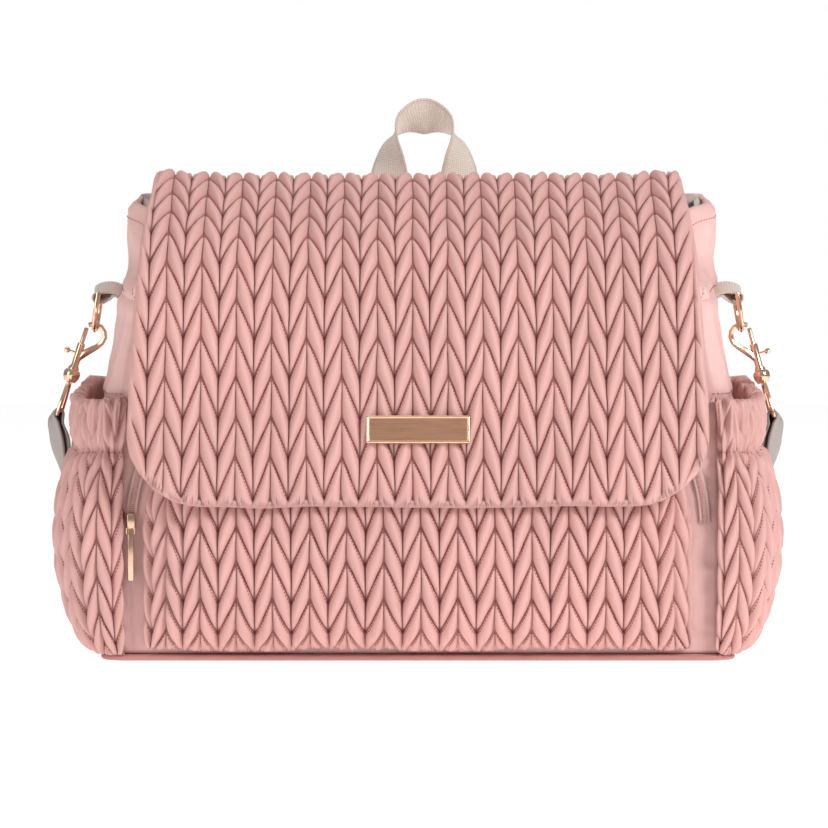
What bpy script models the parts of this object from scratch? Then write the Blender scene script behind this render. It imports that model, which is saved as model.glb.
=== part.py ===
"""Convertible diaper bag with a quilted flap, a zipped front pocket, two gathered side pockets,
a webbing carry handle and a clip-on shoulder strap.

Frame: +Z up, the front faces -Y, and the origin is the middle of the base, on the surface it stands on.
Lengths are metres. Run with: blender --background --python part.py
"""
import math

import bmesh
import bpy
import numpy as np
from mathutils import Matrix, Vector

# ---- driving dimensions ----
MM = 0.001
GAP = 0.0006             # between two cloth pieces that touch
BODY_CORNER = 0.012      # radius of the upright corners
FRONT_Y = -0.050         # front panel at the base
FRONT_LEAN = 0.065       # how far the front panel leans back, per metre of height
BACK_Y = 0.078           # back panel at the base
BACK_LEAN = 0.028
MOUTH_FRONT_Z = 0.222    # top edge of the front panel
MOUTH_BACK_Z = 0.285     # top edge of the back panel
PANEL_BASE_Z = 0.0046    # the upright panels stand on the base panel
CLOTH = 0.003            # satin over thin foam
BASE_THICK = 0.004
LINING_INSET = 0.0072    # lining, measured in from the outside of the panels

FLAP_THICK = 0.008       # quilted
POCKET_THICK = 0.006
POCKET_HALF = 0.1630
POCKET_LOW = 0.0105
POCKET_TURN_Z = 0.083    # where the pocket's top corners begin
POCKET_TURN_R = 0.0870
ZIP_R = 0.0970           # radius of the zip's curve about the same centres
ZIP_WIDE = 0.0070
ZIP_THICK = 0.0012
SIDE_POCKET_THICK = 0.0055
SIDE_POCKET_LOW = 0.0075
SIDE_POCKET_TOP = 0.165
GATHER_Z = 0.130

WEBBING = 0.025
WEBBING_THICK = 0.0016
CLIP_Y = 0.030           # the side tabs and clips hang a little behind the middle
TAB_WIDE = 0.022
RING_BAR = (0.1975, 0.2215)   # x and z of the D ring's straight bar
RING_FOOT = (0.2010, 0.1985)  # x and z of the D ring's lowest wire centre
RING_WIRE = 0.0015
HOOK_UNDER_RING = (0.0052, -0.0040)  # the ring's wire, in the hook's own frame
CLIP_TILT = {"left": 18.0, "right": 15.0}
SIDES = {"left": -1, "right": 1}

# (height, value) stations of shapes that change with height
HALF_WIDTH = [(0.0, 0.188), (0.08, 0.189), (0.16, 0.188), (0.225, 0.178), (0.30, 0.177)]
GUSSET_BULGE = [(0.0, 0.0), (0.05, 0.004), (0.16, 0.006), (0.225, 0.005), (0.30, 0.004)]
POCKET_DEPTH = [(0.0105, 0.0), (0.017, 0.0105), (0.028, 0.0175), (0.045, 0.0215), (0.070, 0.0235),
                (0.095, 0.0200), (0.120, 0.0130), (0.145, 0.0060), (0.1700, 0.0)]
SIDE_DEPTH = [(0.0075, 0.0), (0.020, 0.0120), (0.050, 0.0200), (0.075, 0.0220), (0.10, 0.0190),
              (0.118, 0.0135), (0.130, 0.0095), (0.145, 0.0105), (0.165, 0.0120)]

# outer surface of the flap as (y, z), from its seam on the back panel to its lower edge
FLAP_PROFILE = [(0.0655, 0.2925), (0.0580, 0.2982), (0.0460, 0.2992), (0.0310, 0.2922), (0.0, 0.2735),
                (-0.0300, 0.2520), (-0.0480, 0.2250), (-0.0580, 0.1950), (-0.0680, 0.1500),
                (-0.0770, 0.1150), (-0.0805, 0.0950)]
FLAP_FOLD_AT = 0.129          # along the profile, where the top turns down into the front
FLAP_HALF_TOP = 0.1625
FLAP_HALF_LOW = 0.1765
FLAP_CORNER = 0.045

# ---- finishes: sRGB, roughness, metallic ----
FINISHES = {
    "quilt_satin": ("DBA59F", 0.55, 0.0),
    "plain_satin": ("D09A96", 0.45, 0.0),
    "webbing": ("C9B9AC", 0.75, 0.0),
    "rose_gold": ("D9A386", 0.25, 1.0),
    "lining": ("D8CDC4", 0.80, 0.0),
    "zip_tape": ("E3C4BE", 0.60, 0.0),
    "stiffener": ("EDEAE4", 0.90, 0.0),
    "magnet_steel": ("B9B4AE", 0.35, 1.0),
}


def linear(channel):
    value = channel / 255
    return value / 12.92 if value <= 0.04045 else ((value + 0.055) / 1.055) ** 2.4


def finish(name):
    made = bpy.data.materials.get(name)
    if made:
        return made
    code, rough, metallic = FINISHES[name]
    made = bpy.data.materials.new(name)
    made.use_nodes = True
    shader = made.node_tree.nodes["Principled BSDF"]
    rgb = [linear(int(code[i:i + 2], 16)) for i in (0, 2, 4)]
    shader.inputs["Base Color"].default_value = (*rgb, 1.0)
    shader.inputs["Roughness"].default_value = rough
    shader.inputs["Metallic"].default_value = metallic
    return made


def clear_scene():
    for old in list(bpy.data.objects):
        bpy.data.objects.remove(old)


def collection(name):
    made = bpy.data.collections.new(name)
    bpy.context.scene.collection.children.link(made)
    return made


clear_scene()
BAG = collection("diaper_bag")
CUTTERS = collection("cutters")


def place(name, data, finish_name=None, into=None):
    """An object for this mesh or curve, with its finish, in the bag's collection."""
    made = bpy.data.objects.new(name, data)
    (into or BAG).objects.link(made)
    if finish_name:
        data.materials.append(finish(finish_name))
    if into is CUTTERS:
        made.hide_render = True
        made.display_type = "WIRE"
    return made


def along(stations, at):
    """A smooth curve through (place, value, ...) stations, read at one place: a number where the stations
    hold one value, else a vector."""
    places = [s[0] for s in stations]
    at = min(max(at, places[0]), places[-1])
    i = max(k for k in range(len(places) - 1) if places[k] <= at)
    span = places[i + 1] - places[i]
    t = (at - places[i]) / span
    a, b = np.array(stations[i][1:]), np.array(stations[i + 1][1:])
    leave, arrive = slope(stations, i) * span, slope(stations, i + 1) * span
    value = (a * (2 * t ** 3 - 3 * t ** 2 + 1) + leave * (t ** 3 - 2 * t ** 2 + t)
             + b * (3 * t ** 2 - 2 * t ** 3) + arrive * (t ** 3 - t ** 2))
    return float(value[0]) if len(value) == 1 else Vector(value)


def slope(stations, i):
    """How fast the values change at station i, from the stations on both sides of it."""
    rates = []
    for k in (i - 1, i):
        if 0 <= k < len(stations) - 1:
            step = stations[k + 1][0] - stations[k][0]
            rates.append((np.subtract(stations[k + 1][1:], stations[k][1:]) / step, step))
    if len(rates) == 1:
        return rates[0][0]
    (before, d1), (after, d2) = rates
    return (before * d2 + after * d1) / (d1 + d2)


def by_length(points):
    """The points again as (share of the length, ...) stations."""
    lengths = [0.0]
    for a, b in zip(points, points[1:]):
        lengths.append(lengths[-1] + (Vector(b[:3]) - Vector(a[:3])).length)
    return [(s / lengths[-1], *p) for s, p in zip(lengths, points)]


def cloth(name, point, across, up, thick, grows, finish_name):
    """A sheet whose surface is point(u, v), u and v from 0 to 1. du x dv points out of the bag.
    grows is 1 where its thickness is added outside that surface, -1 inside and 0 on both sides."""
    bm = bmesh.new()
    bmesh.ops.create_grid(bm, x_segments=across, y_segments=up, size=0.5)
    for vert in bm.verts:
        vert.co = point(vert.co.x + 0.5, vert.co.y + 0.5)
    mesh = bpy.data.meshes.new(name)
    bm.to_mesh(mesh)
    bm.free()
    mesh.shade_smooth()
    made = place(name, mesh, finish_name)
    wall = made.modifiers.new("wall", "SOLIDIFY")
    wall.thickness = thick
    wall.offset = grows
    wall.use_even_offset = True
    return made


def ribbon(name, stations, per_span, wide, thick, finish_name):
    """Webbing along (x, y, z, width direction x, y, z) stations."""
    route = by_length(stations)
    spans = len(route) - 1

    def point(u, v):
        i = min(int(u * spans + 1e-6), spans - 1)
        share = route[i][0] + (u * spans - i) * (route[i + 1][0] - route[i][0])
        here = along(route, share)
        across = Vector(here[3:6]).normalized()
        return Vector(here[:3]) + across * wide * (v - 0.5)

    return cloth(name, point, spans * per_span, 1, thick, 0, finish_name)


def wire(name, points, radius, finish_name, closed=False, into=None, sides=2):
    """A round bar along the points, as a curve."""
    curve = bpy.data.curves.new(name, "CURVE")
    curve.dimensions = "3D"
    curve.bevel_depth = radius
    curve.bevel_resolution = sides
    curve.use_fill_caps = not closed
    spline = curve.splines.new("POLY")
    spline.points.add(len(points) - 1)
    for knot, at in zip(spline.points, points):
        knot.co = (*at[:3], 1.0)
        knot.radius = at[3] if len(at) > 3 else 1.0
    spline.use_cyclic_u = closed
    return place(name, curve, finish_name, into)


def as_mesh(curve_object, into):
    """The curve's tube as a closed mesh object, in place of the curve."""
    graph = bpy.context.evaluated_depsgraph_get()
    mesh = bpy.data.meshes.new_from_object(curve_object.evaluated_get(graph))
    bm = bmesh.new()
    bm.from_mesh(mesh)
    bmesh.ops.remove_doubles(bm, verts=bm.verts, dist=1e-6)
    bmesh.ops.recalc_face_normals(bm, faces=bm.faces)
    bm.to_mesh(mesh)
    bm.free()
    name, where = curve_object.name, curve_object.matrix_world.copy()
    bpy.data.objects.remove(curve_object)
    made = place(name, mesh, None, into)
    made.matrix_world = where
    return made


def block(name, low, high, finish_name, round_by=0.0, upright_only=False, into=None):
    """A box between two corners, with rounded edges."""
    bm = bmesh.new()
    bmesh.ops.create_cube(bm, size=1.0)
    low, high = Vector(low), Vector(high)
    size = high - low
    for vert in bm.verts:
        vert.co = (low + high) / 2 + Vector(a * b for a, b in zip(vert.co, size))
    if round_by:
        edges = [e for e in bm.edges
                 if not upright_only or abs(e.verts[0].co.z - e.verts[1].co.z) > size.z / 2]
        bmesh.ops.bevel(bm, geom=edges, offset=round_by, segments=3, affect="EDGES", profile=0.5)
    mesh = bpy.data.meshes.new(name)
    bm.to_mesh(mesh)
    bm.free()
    return place(name, mesh, finish_name, into)


def turned(name, profile, finish_name, into=None, steps=24):
    """A solid turned about its own Z from (radius, height) points that run down its outer side."""
    mesh = bpy.data.meshes.new(name)
    edges = [(i, i + 1) for i in range(len(profile) - 1)]
    mesh.from_pydata([(r, 0.0, z) for r, z in profile], edges, [])
    made = place(name, mesh, finish_name, into)
    turn = made.modifiers.new("turn", "SCREW")
    turn.steps = turn.render_steps = steps
    turn.use_merge_vertices = True
    turn.merge_threshold = 0.00001
    return made


def boolean(target, other, operation):
    cut = target.modifiers.new(operation.lower(), "BOOLEAN")
    cut.operation = operation
    cut.object = other
    cut.solver = "EXACT"


# ---- the bag's own surfaces ----

def front_y(z):
    return FRONT_Y + FRONT_LEAN * z


def back_y(z):
    return BACK_Y - BACK_LEAN * z


def gusset_x(y, z):
    """How far out the side is at this depth and height."""
    half, front, back = along(HALF_WIDTH, z), front_y(z), back_y(z)
    into_corner = max(front + BODY_CORNER - y, y - (back - BODY_CORNER), 0.0)
    rounded = math.sqrt(max(BODY_CORNER ** 2 - min(into_corner, BODY_CORNER) ** 2, 0.0))
    q = (y - front) / (back - front)
    return half - BODY_CORNER + rounded + along(GUSSET_BULGE, z) * math.sin(math.pi * min(max(q, 0), 1)) ** 2


def around_side(s, z):
    """(x, y) on the side at share s of the way round from the front panel to the back panel."""
    front, back = front_y(z), back_y(z)
    arc, straight = BODY_CORNER * math.pi / 2, back - front - 2 * BODY_CORNER
    d = s * (2 * arc + straight)
    half = along(HALF_WIDTH, z)
    if d < arc:
        turn = d / BODY_CORNER
        x, y = half - BODY_CORNER * (1 - math.sin(turn)), front + BODY_CORNER * (1 - math.cos(turn))
    elif d < arc + straight:
        x, y = half, front + BODY_CORNER + d - arc
    else:
        turn = (d - arc - straight) / BODY_CORNER
        x, y = half - BODY_CORNER * (1 - math.cos(turn)), back - BODY_CORNER * (1 - math.sin(turn))
    q = (y - front) / (back - front)
    return x + along(GUSSET_BULGE, z) * math.sin(math.pi * q) ** 2, y


def mouth_z(q):
    """Top edge of the sides, q from 0 at the front to 1 at the back."""
    return MOUTH_FRONT_Z + (MOUTH_BACK_Z - MOUTH_FRONT_Z) * q ** 0.55


def seam_z(q):
    """The seam across each side that holds the tab."""
    return 0.216 + 0.010 * math.sqrt(q)


def depth_share(s):
    """How deep into the bag share s of the way round the side is."""
    _, y = around_side(s, 0.2)
    return min(max((y - front_y(0.2)) / (back_y(0.2) - front_y(0.2)), 0.0), 1.0)


def upright(y_of, u, v, z_low, z_high, faces):
    z = z_low + (z_high - z_low) * v
    half = along(HALF_WIDTH, z) - BODY_CORNER - 0.0012
    return Vector((faces * half * (2 * u - 1), y_of(z), z))


def make_body():
    """Satin panels that stand on the base, with the lining, foam and board inside them."""
    cloth("front_panel", lambda u, v: upright(front_y, u, v, PANEL_BASE_Z, MOUTH_FRONT_Z, 1),
          6, 12, CLOTH, -1, "plain_satin")
    cloth("back_panel", lambda u, v: upright(back_y, u, v, PANEL_BASE_Z, MOUTH_BACK_Z, -1),
          6, 12, CLOTH, -1, "plain_satin")
    for side, sign in SIDES.items():
        def low_gusset(u, v, sign=sign):
            s = 0.005 + 0.990 * (u if sign > 0 else 1 - u)
            z = PANEL_BASE_Z + (seam_z(depth_share(s)) - GAP / 2 - PANEL_BASE_Z) * v
            x, y = around_side(s, z)
            return Vector((sign * x, y, z))

        def high_gusset(u, v, sign=sign):
            s = 0.005 + 0.990 * (u if sign > 0 else 1 - u)
            q = depth_share(s)
            low = seam_z(q) + GAP / 2
            z = low + (mouth_z(q) - low) * v
            x, y = around_side(s, z)
            return Vector((sign * x, y, z))

        cloth(f"{side}_gusset_lower", low_gusset, 20, 10, CLOTH, -1, "plain_satin")
        cloth(f"{side}_gusset_upper", high_gusset, 20, 4, CLOTH, -1, "plain_satin")

    half = along(HALF_WIDTH, 0.0)
    block("base_panel", (-half, FRONT_Y, 0.0), (half, BACK_Y, BASE_THICK), "plain_satin",
          BODY_CORNER, upright_only=True)
    board_in = 0.012
    block("base_board", (-half + board_in, FRONT_Y + board_in, 0.0062),
          (half - board_in, BACK_Y - board_in, 0.0086), "stiffener", 0.006, upright_only=True)
    make_lining()


def make_lining():
    """A lining bag, open at the mouth, with a foam sheet behind it and a slip pocket on its back wall."""
    floor_z, inset = 0.0115, LINING_INSET
    bm = bmesh.new()
    bmesh.ops.create_cube(bm, size=2.0)
    for vert in bm.verts:
        to_back, to_top = vert.co.y > 0, vert.co.z > 0
        z = floor_z if not to_top else (MOUTH_BACK_Z if to_back else MOUTH_FRONT_Z) - 0.002
        y = back_y(z) - inset if to_back else front_y(z) + inset
        vert.co = Vector((vert.co.x * (along(HALF_WIDTH, z) - inset), y, z))
    top = max(bm.faces, key=lambda f: f.calc_center_median().z)
    bmesh.ops.delete(bm, geom=[top], context="FACES_ONLY")
    mesh = bpy.data.meshes.new("lining")
    bm.to_mesh(mesh)
    bm.free()
    lining = place("lining", mesh, "lining")
    wall = lining.modifiers.new("wall", "SOLIDIFY")
    wall.thickness = 0.0012
    wall.offset = -1
    wall.use_even_offset = True

    def foam(u, v):
        z = 0.016 + (MOUTH_BACK_Z - 0.006 - 0.016) * v
        return Vector(((0.5 - u) * 2 * 0.150, back_y(z) - CLOTH - GAP, z))

    cloth("back_foam", foam, 1, 1, 0.0022, -1, "stiffener")

    def slip_pocket(u, v):
        z = 0.030 + 0.125 * v
        fullness = 0.008 * v * math.sin(math.pi * u)
        y = back_y(z) - inset - 0.0012 - 0.0022 - fullness
        return Vector(((2 * u - 1) * 0.115, y, z))

    cloth("inner_slip_pocket", slip_pocket, 10, 4, 0.001, 1, "lining")


def make_piping():
    """Corded piping round the edge of the base."""
    half, off, z = along(HALF_WIDTH, 0.0), 0.0023, 0.0022
    r = BODY_CORNER + off
    centres = [(half - BODY_CORNER, FRONT_Y + BODY_CORNER, -90), (half - BODY_CORNER, BACK_Y - BODY_CORNER, 0),
               (-half + BODY_CORNER, BACK_Y - BODY_CORNER, 90), (-half + BODY_CORNER, FRONT_Y + BODY_CORNER, 180)]
    points = []
    for x, y, start in centres:
        for k in range(6):
            turn = math.radians(start + 18 * k)
            points.append((x + r * math.cos(turn), y + r * math.sin(turn), z))
    wire("base_piping", points, 0.0019, "plain_satin", closed=True)


# ---- pockets ----

def pocket_half(z):
    """Half width of the front pocket, whose top corners are quarter rounds."""
    if z <= POCKET_TURN_Z:
        return POCKET_HALF
    rise = min(z - POCKET_TURN_Z, POCKET_TURN_R)
    return POCKET_HALF - POCKET_TURN_R + math.sqrt(POCKET_TURN_R ** 2 - rise ** 2)


def make_front_pocket():
    top = POCKET_TURN_Z + POCKET_TURN_R

    def inner(u, v):
        rise = math.sin(v * math.pi / 2) ** 1.15
        z = POCKET_LOW + (top - POCKET_LOW) * rise
        side = math.sin((u - 0.5) * math.pi)
        depth = along(POCKET_DEPTH, z) * (1 - abs(side) ** 6) ** 0.75
        return Vector((side * pocket_half(z), front_y(z) - GAP - depth, z))

    cloth("front_pocket", inner, 28, 20, POCKET_THICK, 1, "quilt_satin")


def zip_centre(sign):
    """Centre of the zip's curve at one top corner, on the front panel."""
    return Vector((sign * (POCKET_HALF - POCKET_TURN_R), front_y(POCKET_TURN_Z), POCKET_TURN_Z))


def make_zip():
    """The coil zip round the front pocket, its slider and its hanging pull."""
    proud = GAP + ZIP_THICK / 2
    slope = Vector((0, FRONT_LEAN, 1)).normalized()
    out = Vector((0, -1, FRONT_LEAN)).normalized()
    stations = []
    for sign, turns in ((-1, range(0, 91, 9)), (1, range(90, -1, -9))):
        for degrees in turns:
            a = math.radians(degrees)
            spoke = Vector((sign, 0, 0)) * math.cos(a) + slope * math.sin(a)
            at = zip_centre(sign) + out * proud + spoke * ZIP_R
            stations.append((*at, *spoke))
    ribbon("zip_coil", stations, 2, ZIP_WIDE, ZIP_THICK, "zip_tape")

    start = zip_centre(-1) + Vector((-ZIP_R, 0, 0))
    lift = GAP + ZIP_THICK + 0.0003
    low = start + Vector((-0.0028, -lift - 0.0032, -0.0045))
    high = start + Vector((0.0028, -lift, 0.0060))
    slider = block("zip_slider", low, high, "rose_gold", 0.0010)
    hang = start + Vector((0, -lift - 0.0048, -0.0045))
    for sign in (-1, 1):
        near, far = sorted((sign * 0.0021, sign * 0.0028))
        ear = block("slider_ear", hang + Vector((near, -0.0014, -0.0018)), hang + Vector((far, 0.0022, 0.0020)),
                    None, into=CUTTERS)
        boolean(slider, ear, "UNION")
    block("zip_pull", hang + Vector((-0.0018, -0.0007, -0.0300)), hang + Vector((0.0018, 0.0007, 0.0010)),
          "rose_gold", 0.0005)


def make_side_pockets():
    """Quilted bottle pockets, gathered on elastic near the top and open above."""
    def swell(q, z):
        return along(SIDE_DEPTH, z) * (1 - abs(2 * q - 1) ** 2.4) ** 0.7

    for side, sign in SIDES.items():
        def inner(u, v, sign=sign):
            ahead = u if sign > 0 else 1 - u
            q = 0.5 - 0.5 * math.cos(math.pi * ahead)
            z = SIDE_POCKET_LOW + (SIDE_POCKET_TOP - SIDE_POCKET_LOW) * v ** 1.15
            y = front_y(z) + 0.004 + (back_y(z) - front_y(z) - 0.008) * q
            return Vector((sign * (gusset_x(y, z) + GAP + swell(q, z)), y, z))

        def elastic(u, v, sign=sign):
            ahead = u if sign > 0 else 1 - u
            q = 0.14 + 0.72 * ahead
            z = GATHER_Z - 0.004 + 0.008 * v
            y = front_y(z) + 0.004 + (back_y(z) - front_y(z) - 0.008) * q
            return Vector((sign * (gusset_x(y, z) + swell(q, z) - 0.0014), y, z))

        cloth(f"{side}_side_pocket", inner, 22, 16, SIDE_POCKET_THICK, 1, "quilt_satin")
        cloth(f"{side}_pocket_elastic", elastic, 12, 1, 0.0008, -1, "stiffener")


# ---- flap ----

FLAP_ROUTE = by_length([(0.0, y, z) for y, z in FLAP_PROFILE])
FLAP_LONG = sum((Vector(b) - Vector(a)).length for a, b in zip(FLAP_PROFILE, FLAP_PROFILE[1:]))


def flap_half(s):
    """Half width of the flap at distance s along its profile, with rounded lower corners."""
    half = FLAP_HALF_TOP + (FLAP_HALF_LOW - FLAP_HALF_TOP) * s / FLAP_LONG
    past = s - (FLAP_LONG - FLAP_CORNER)
    if past <= 0:
        return half
    return half - FLAP_CORNER + math.sqrt(max(FLAP_CORNER ** 2 - min(past, FLAP_CORNER) ** 2, 0.0))


def flap_point(u, s):
    here = along(FLAP_ROUTE, s / FLAP_LONG)
    return Vector(((2 * u - 1) * flap_half(s), here[1], here[2]))


def flap_tangent(s):
    """Direction down the flap at distance s."""
    ahead, behind = flap_point(0.5, s + MM), flap_point(0.5, s - MM)
    return (ahead - behind).normalized()


def make_flap():
    edge = 0.0008

    def top(u, v):
        return flap_point(u, FLAP_FOLD_AT - edge - (FLAP_FOLD_AT - edge) * v)

    def front(u, v):
        fall = math.sin((1 - v) * math.pi / 2)
        return flap_point(u, FLAP_FOLD_AT + edge + (FLAP_LONG - FLAP_FOLD_AT - edge) * fall)

    cloth("flap_top", top, 8, 14, FLAP_THICK, -1, "quilt_satin")
    cloth("flap_front", front, 12, 22, FLAP_THICK, -1, "quilt_satin")

    plate_s = 0.2280
    centre, down = flap_point(0.5, plate_s), flap_tangent(plate_s)
    out = Vector((1, 0, 0)).cross(-down).normalized()
    plate = block("name_plate", (-0.031, -0.0085, 0), (0.031, 0.0085, 0.0016), "rose_gold", 0.0005)
    frame = Matrix((Vector((1, 0, 0)), -down, out)).transposed().to_4x4()
    frame.translation = centre + out * 0.0012
    plate.matrix_world = frame

    for side, sign in SIDES.items():
        make_snap(side, sign)


def make_snap(side, sign):
    """One magnetic snap: a disc under the flap and one on the front pocket, face to face."""
    s, x, radius = 0.254, sign * 0.105, 0.009
    on_flap = flap_point(0.5, s)
    down = flap_tangent(s)
    out = Vector((1, 0, 0)).cross(-down).normalized()
    turn = Matrix((Vector((1, 0, 0)), -down, out)).transposed().to_4x4()
    for name, depth, thick in ((f"{side}_flap_magnet", FLAP_THICK + 0.0004, 0.0018),
                               (f"{side}_pocket_magnet", FLAP_THICK + 0.0024, 0.0014)):
        disc = turned(name, [(0.0, 0.0), (radius - 0.0006, 0.0), (radius, -0.0006),
                             (radius, -thick), (0.0, -thick)], "magnet_steel")
        frame = turn.copy()
        frame.translation = Vector((x, on_flap.y, on_flap.z)) - out * depth
        disc.matrix_world = frame


# ---- webbing and metal ----

def make_handle():
    """Carry handle: webbing whose legs face the front and whose top turns over to show its inner face."""
    y, z = 0.0718, 0.2880
    left = [(-0.0168, y, z - 0.0080, 1.0, 0.0, 0.0), (-0.0168, y + 0.0020, z, 0.99, -0.10, 0.0),
            (-0.0172, y + 0.0080, z + 0.0160, 0.80, -0.60, 0.02),
            (-0.0150, y + 0.0112, z + 0.0320, 0.30, -0.93, 0.18),
            (-0.0065, y + 0.0124, z + 0.0432, -0.25, -0.78, 0.50)]
    top = [(0.0042, y + 0.0128, z + 0.0462, 0.0, -0.46, 0.88)]
    middle = top[0][0]
    right = [(2 * middle - p[0], *p[1:3], -p[3], *p[4:]) for p in reversed(left)]
    ribbon("carry_handle", left + top + right, 5, WEBBING, WEBBING_THICK, "webbing")


def make_tab_and_ring(side, sign):
    """A webbing tab sewn into the side seam, and the D ring in its fold."""
    bar_x, bar_z = RING_BAR
    root = gusset_x(CLIP_Y, 0.219) + 0.0012
    fold = 0.0032
    path = [(root, bar_z + 0.0044), (bar_x - 0.008, bar_z + 0.0052)]
    path += [(bar_x + fold * math.sin(math.radians(a)), bar_z + fold * math.cos(math.radians(a)))
             for a in range(0, 181, 30)]
    path += [(bar_x - 0.008, bar_z - 0.0034), (root, bar_z - 0.0008)]
    stations = [(sign * x, CLIP_Y, z, 0, 1, 0) for x, z in path]
    ribbon(f"{side}_tab", stations, 2, TAB_WIDE, 0.0014, "webbing")

    bar = Vector((sign * bar_x, CLIP_Y, bar_z))
    foot = Vector((sign * RING_FOOT[0], CLIP_Y, RING_FOOT[1]))
    drop, half = foot - bar, 0.0132
    points = [bar + Vector((0, y, 0)) for y in (-half, -half / 3, half / 3, half)]
    shoulder = 0.36
    for k in range(13):
        a = math.pi * k / 12
        level = shoulder + (1 - shoulder) * math.sin(a)
        points.append(bar + Vector((0, (half + 0.0008) * math.cos(a), 0)) + drop * level)
    wire(f"{side}_d_ring", points, RING_WIRE, "rose_gold", closed=True)


def clip_frame(side, sign):
    """The hook's own frame: x towards the bag, z up along its barrel, 0 at the top of its eye."""
    tilt = Matrix.Rotation(math.radians(CLIP_TILT[side]), 4, "Y")
    turn = Matrix.Rotation(0.0 if sign < 0 else math.pi, 4, "Z") @ tilt
    foot = Vector((sign * RING_FOOT[0], CLIP_Y, RING_FOOT[1]))
    at = Vector((HOOK_UNDER_RING[0], 0, HOOK_UNDER_RING[1]))
    frame = turn.copy()
    frame.translation = foot - turn.to_3x3() @ at
    return frame


BARREL = 0.0024          # outside radius of the hook's barrel
BARREL_BORE = 0.00155
BARREL_TOP, BARREL_LOW = -0.0140, -0.0310
GATE_PIN = 0.00135
GATE_TRAVEL = 0.0070
LEVER_Z = -0.0205
LOOP_BAR_Z = -0.0600     # the swivel's strap bar
LOOP_HALF = 0.0140


def make_hook(side, frame):
    """Trigger snap hook: an eye that runs down into a barrel, bored for the gate."""
    eye = [(0.0006, -0.0016, 0.9), (0.0028, -0.0004, 1.0), (0.0056, 0.0, 1.0), (0.0086, -0.0008, 1.0),
           (0.0112, -0.0030, 1.0), (0.0124, -0.0062, 1.0), (0.0118, -0.0098, 1.0), (0.0096, -0.0130, 1.05),
           (0.0066, -0.0160, 1.25), (0.0038, -0.0190, 1.35), (0.0014, -0.0225, 1.2), (0.0002, -0.0250, 1.0)]
    bow = as_mesh(wire(f"{side}_hook_bow", [(x, 0, z, r) for x, z, r in eye], 0.0016, None, into=CUTTERS), CUTTERS)
    stud = 0.0016
    barrel = turned(f"{side}_hook", [(0.0, BARREL_TOP), (BARREL, BARREL_TOP), (BARREL, BARREL_LOW + 0.003),
                                     (0.0034, BARREL_LOW + 0.001), (0.0034, BARREL_LOW),
                                     (stud, BARREL_LOW), (stud, -0.0352), (0.0, -0.0352)], "rose_gold")
    bore = turned(f"{side}_hook_bore", [(0.0, BARREL_TOP + 0.0011), (BARREL_BORE, BARREL_TOP + 0.0011),
                                        (BARREL_BORE, -0.0302), (0.0, -0.0302)], None, CUTTERS, 16)
    slot = block(f"{side}_hook_slot", (-0.005, -0.0011, LEVER_Z - GATE_TRAVEL - 0.0014),
                 (0.0, 0.0011, LEVER_Z + 0.0014), None, into=CUTTERS)
    for piece in (barrel, bow, bore, slot):
        piece.matrix_world = frame
    boolean(barrel, bow, "UNION")
    boolean(barrel, bore, "DIFFERENCE")
    boolean(barrel, slot, "DIFFERENCE")


def make_gate(side, frame):
    """The sprung gate: a pin that closes the eye, with a thumb lever out through the slot."""
    gate = turned(f"{side}_gate", [(0.0, -0.0036), (0.0009, -0.0036), (GATE_PIN, -0.0042),
                                   (GATE_PIN, -0.0222), (0.0, -0.0222)], "rose_gold", steps=16)
    lever = as_mesh(wire(f"{side}_lever", [(-0.0004, 0, LEVER_Z, 0.9), (-0.0056, 0, LEVER_Z, 0.9),
                                           (-0.0062, 0, LEVER_Z, 1.7), (-0.0072, 0, LEVER_Z, 2.1),
                                           (-0.0083, 0, LEVER_Z, 1.9), (-0.0090, 0, LEVER_Z, 1.2)],
                         0.0009, None, into=CUTTERS), CUTTERS)
    for piece in (gate, lever):
        piece.matrix_world = frame
    boolean(gate, lever, "UNION")

    turns, low, high, per_turn = 5, -0.0298, -0.0227, 10
    coil = [(0.00095 * math.cos(2 * math.pi * k / per_turn), 0.00095 * math.sin(2 * math.pi * k / per_turn),
             low + (high - low) * k / (turns * per_turn)) for k in range(turns * per_turn + 1)]
    spring = wire(f"{side}_gate_spring", coil, 0.0002, "magnet_steel", sides=0)
    spring.matrix_world = frame


def make_swivel(side, frame):
    """The swivel: a collar round the hook's stud, and the loop that carries the strap."""
    collar_top = BARREL_LOW - 0.0003
    collar = turned(f"{side}_swivel", [
        (0.0, collar_top), (0.0042, collar_top), (0.0052, collar_top - 0.0018), (0.0050, collar_top - 0.0045),
        (0.0036, collar_top - 0.0075), (0.0, collar_top - 0.0075)], "rose_gold")
    pit = turned(f"{side}_swivel_pit", [(0.0, collar_top + 0.001), (0.0019, collar_top + 0.001),
                                        (0.0019, -0.0357), (0.0, -0.0357)], None, CUTTERS, 16)

    top_z = collar_top - 0.0068
    half_loop = [(0.0, top_z), (0.0045, top_z - 0.0004), (0.0080, top_z - 0.0030), (0.0118, top_z - 0.0110),
                 (LOOP_HALF, LOOP_BAR_Z + 0.0030), (LOOP_HALF - 0.0004, LOOP_BAR_Z + 0.0009),
                 (LOOP_HALF - 0.0016, LOOP_BAR_Z)]
    points = [(0, y, z) for y, z in half_loop] + [(0, -y, z) for y, z in reversed(half_loop[1:])]
    loop = as_mesh(wire(f"{side}_strap_loop", points, 0.0012, None, closed=True, into=CUTTERS), CUTTERS)
    for piece in (collar, pit, loop):
        piece.matrix_world = frame
    boolean(collar, loop, "UNION")
    boolean(collar, pit, "DIFFERENCE")


def make_clips():
    for side, sign in SIDES.items():
        make_tab_and_ring(side, sign)
        frame = clip_frame(side, sign)
        make_hook(side, frame)
        make_gate(side, frame)
        make_swivel(side, frame)


# ---- shoulder strap ----

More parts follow.
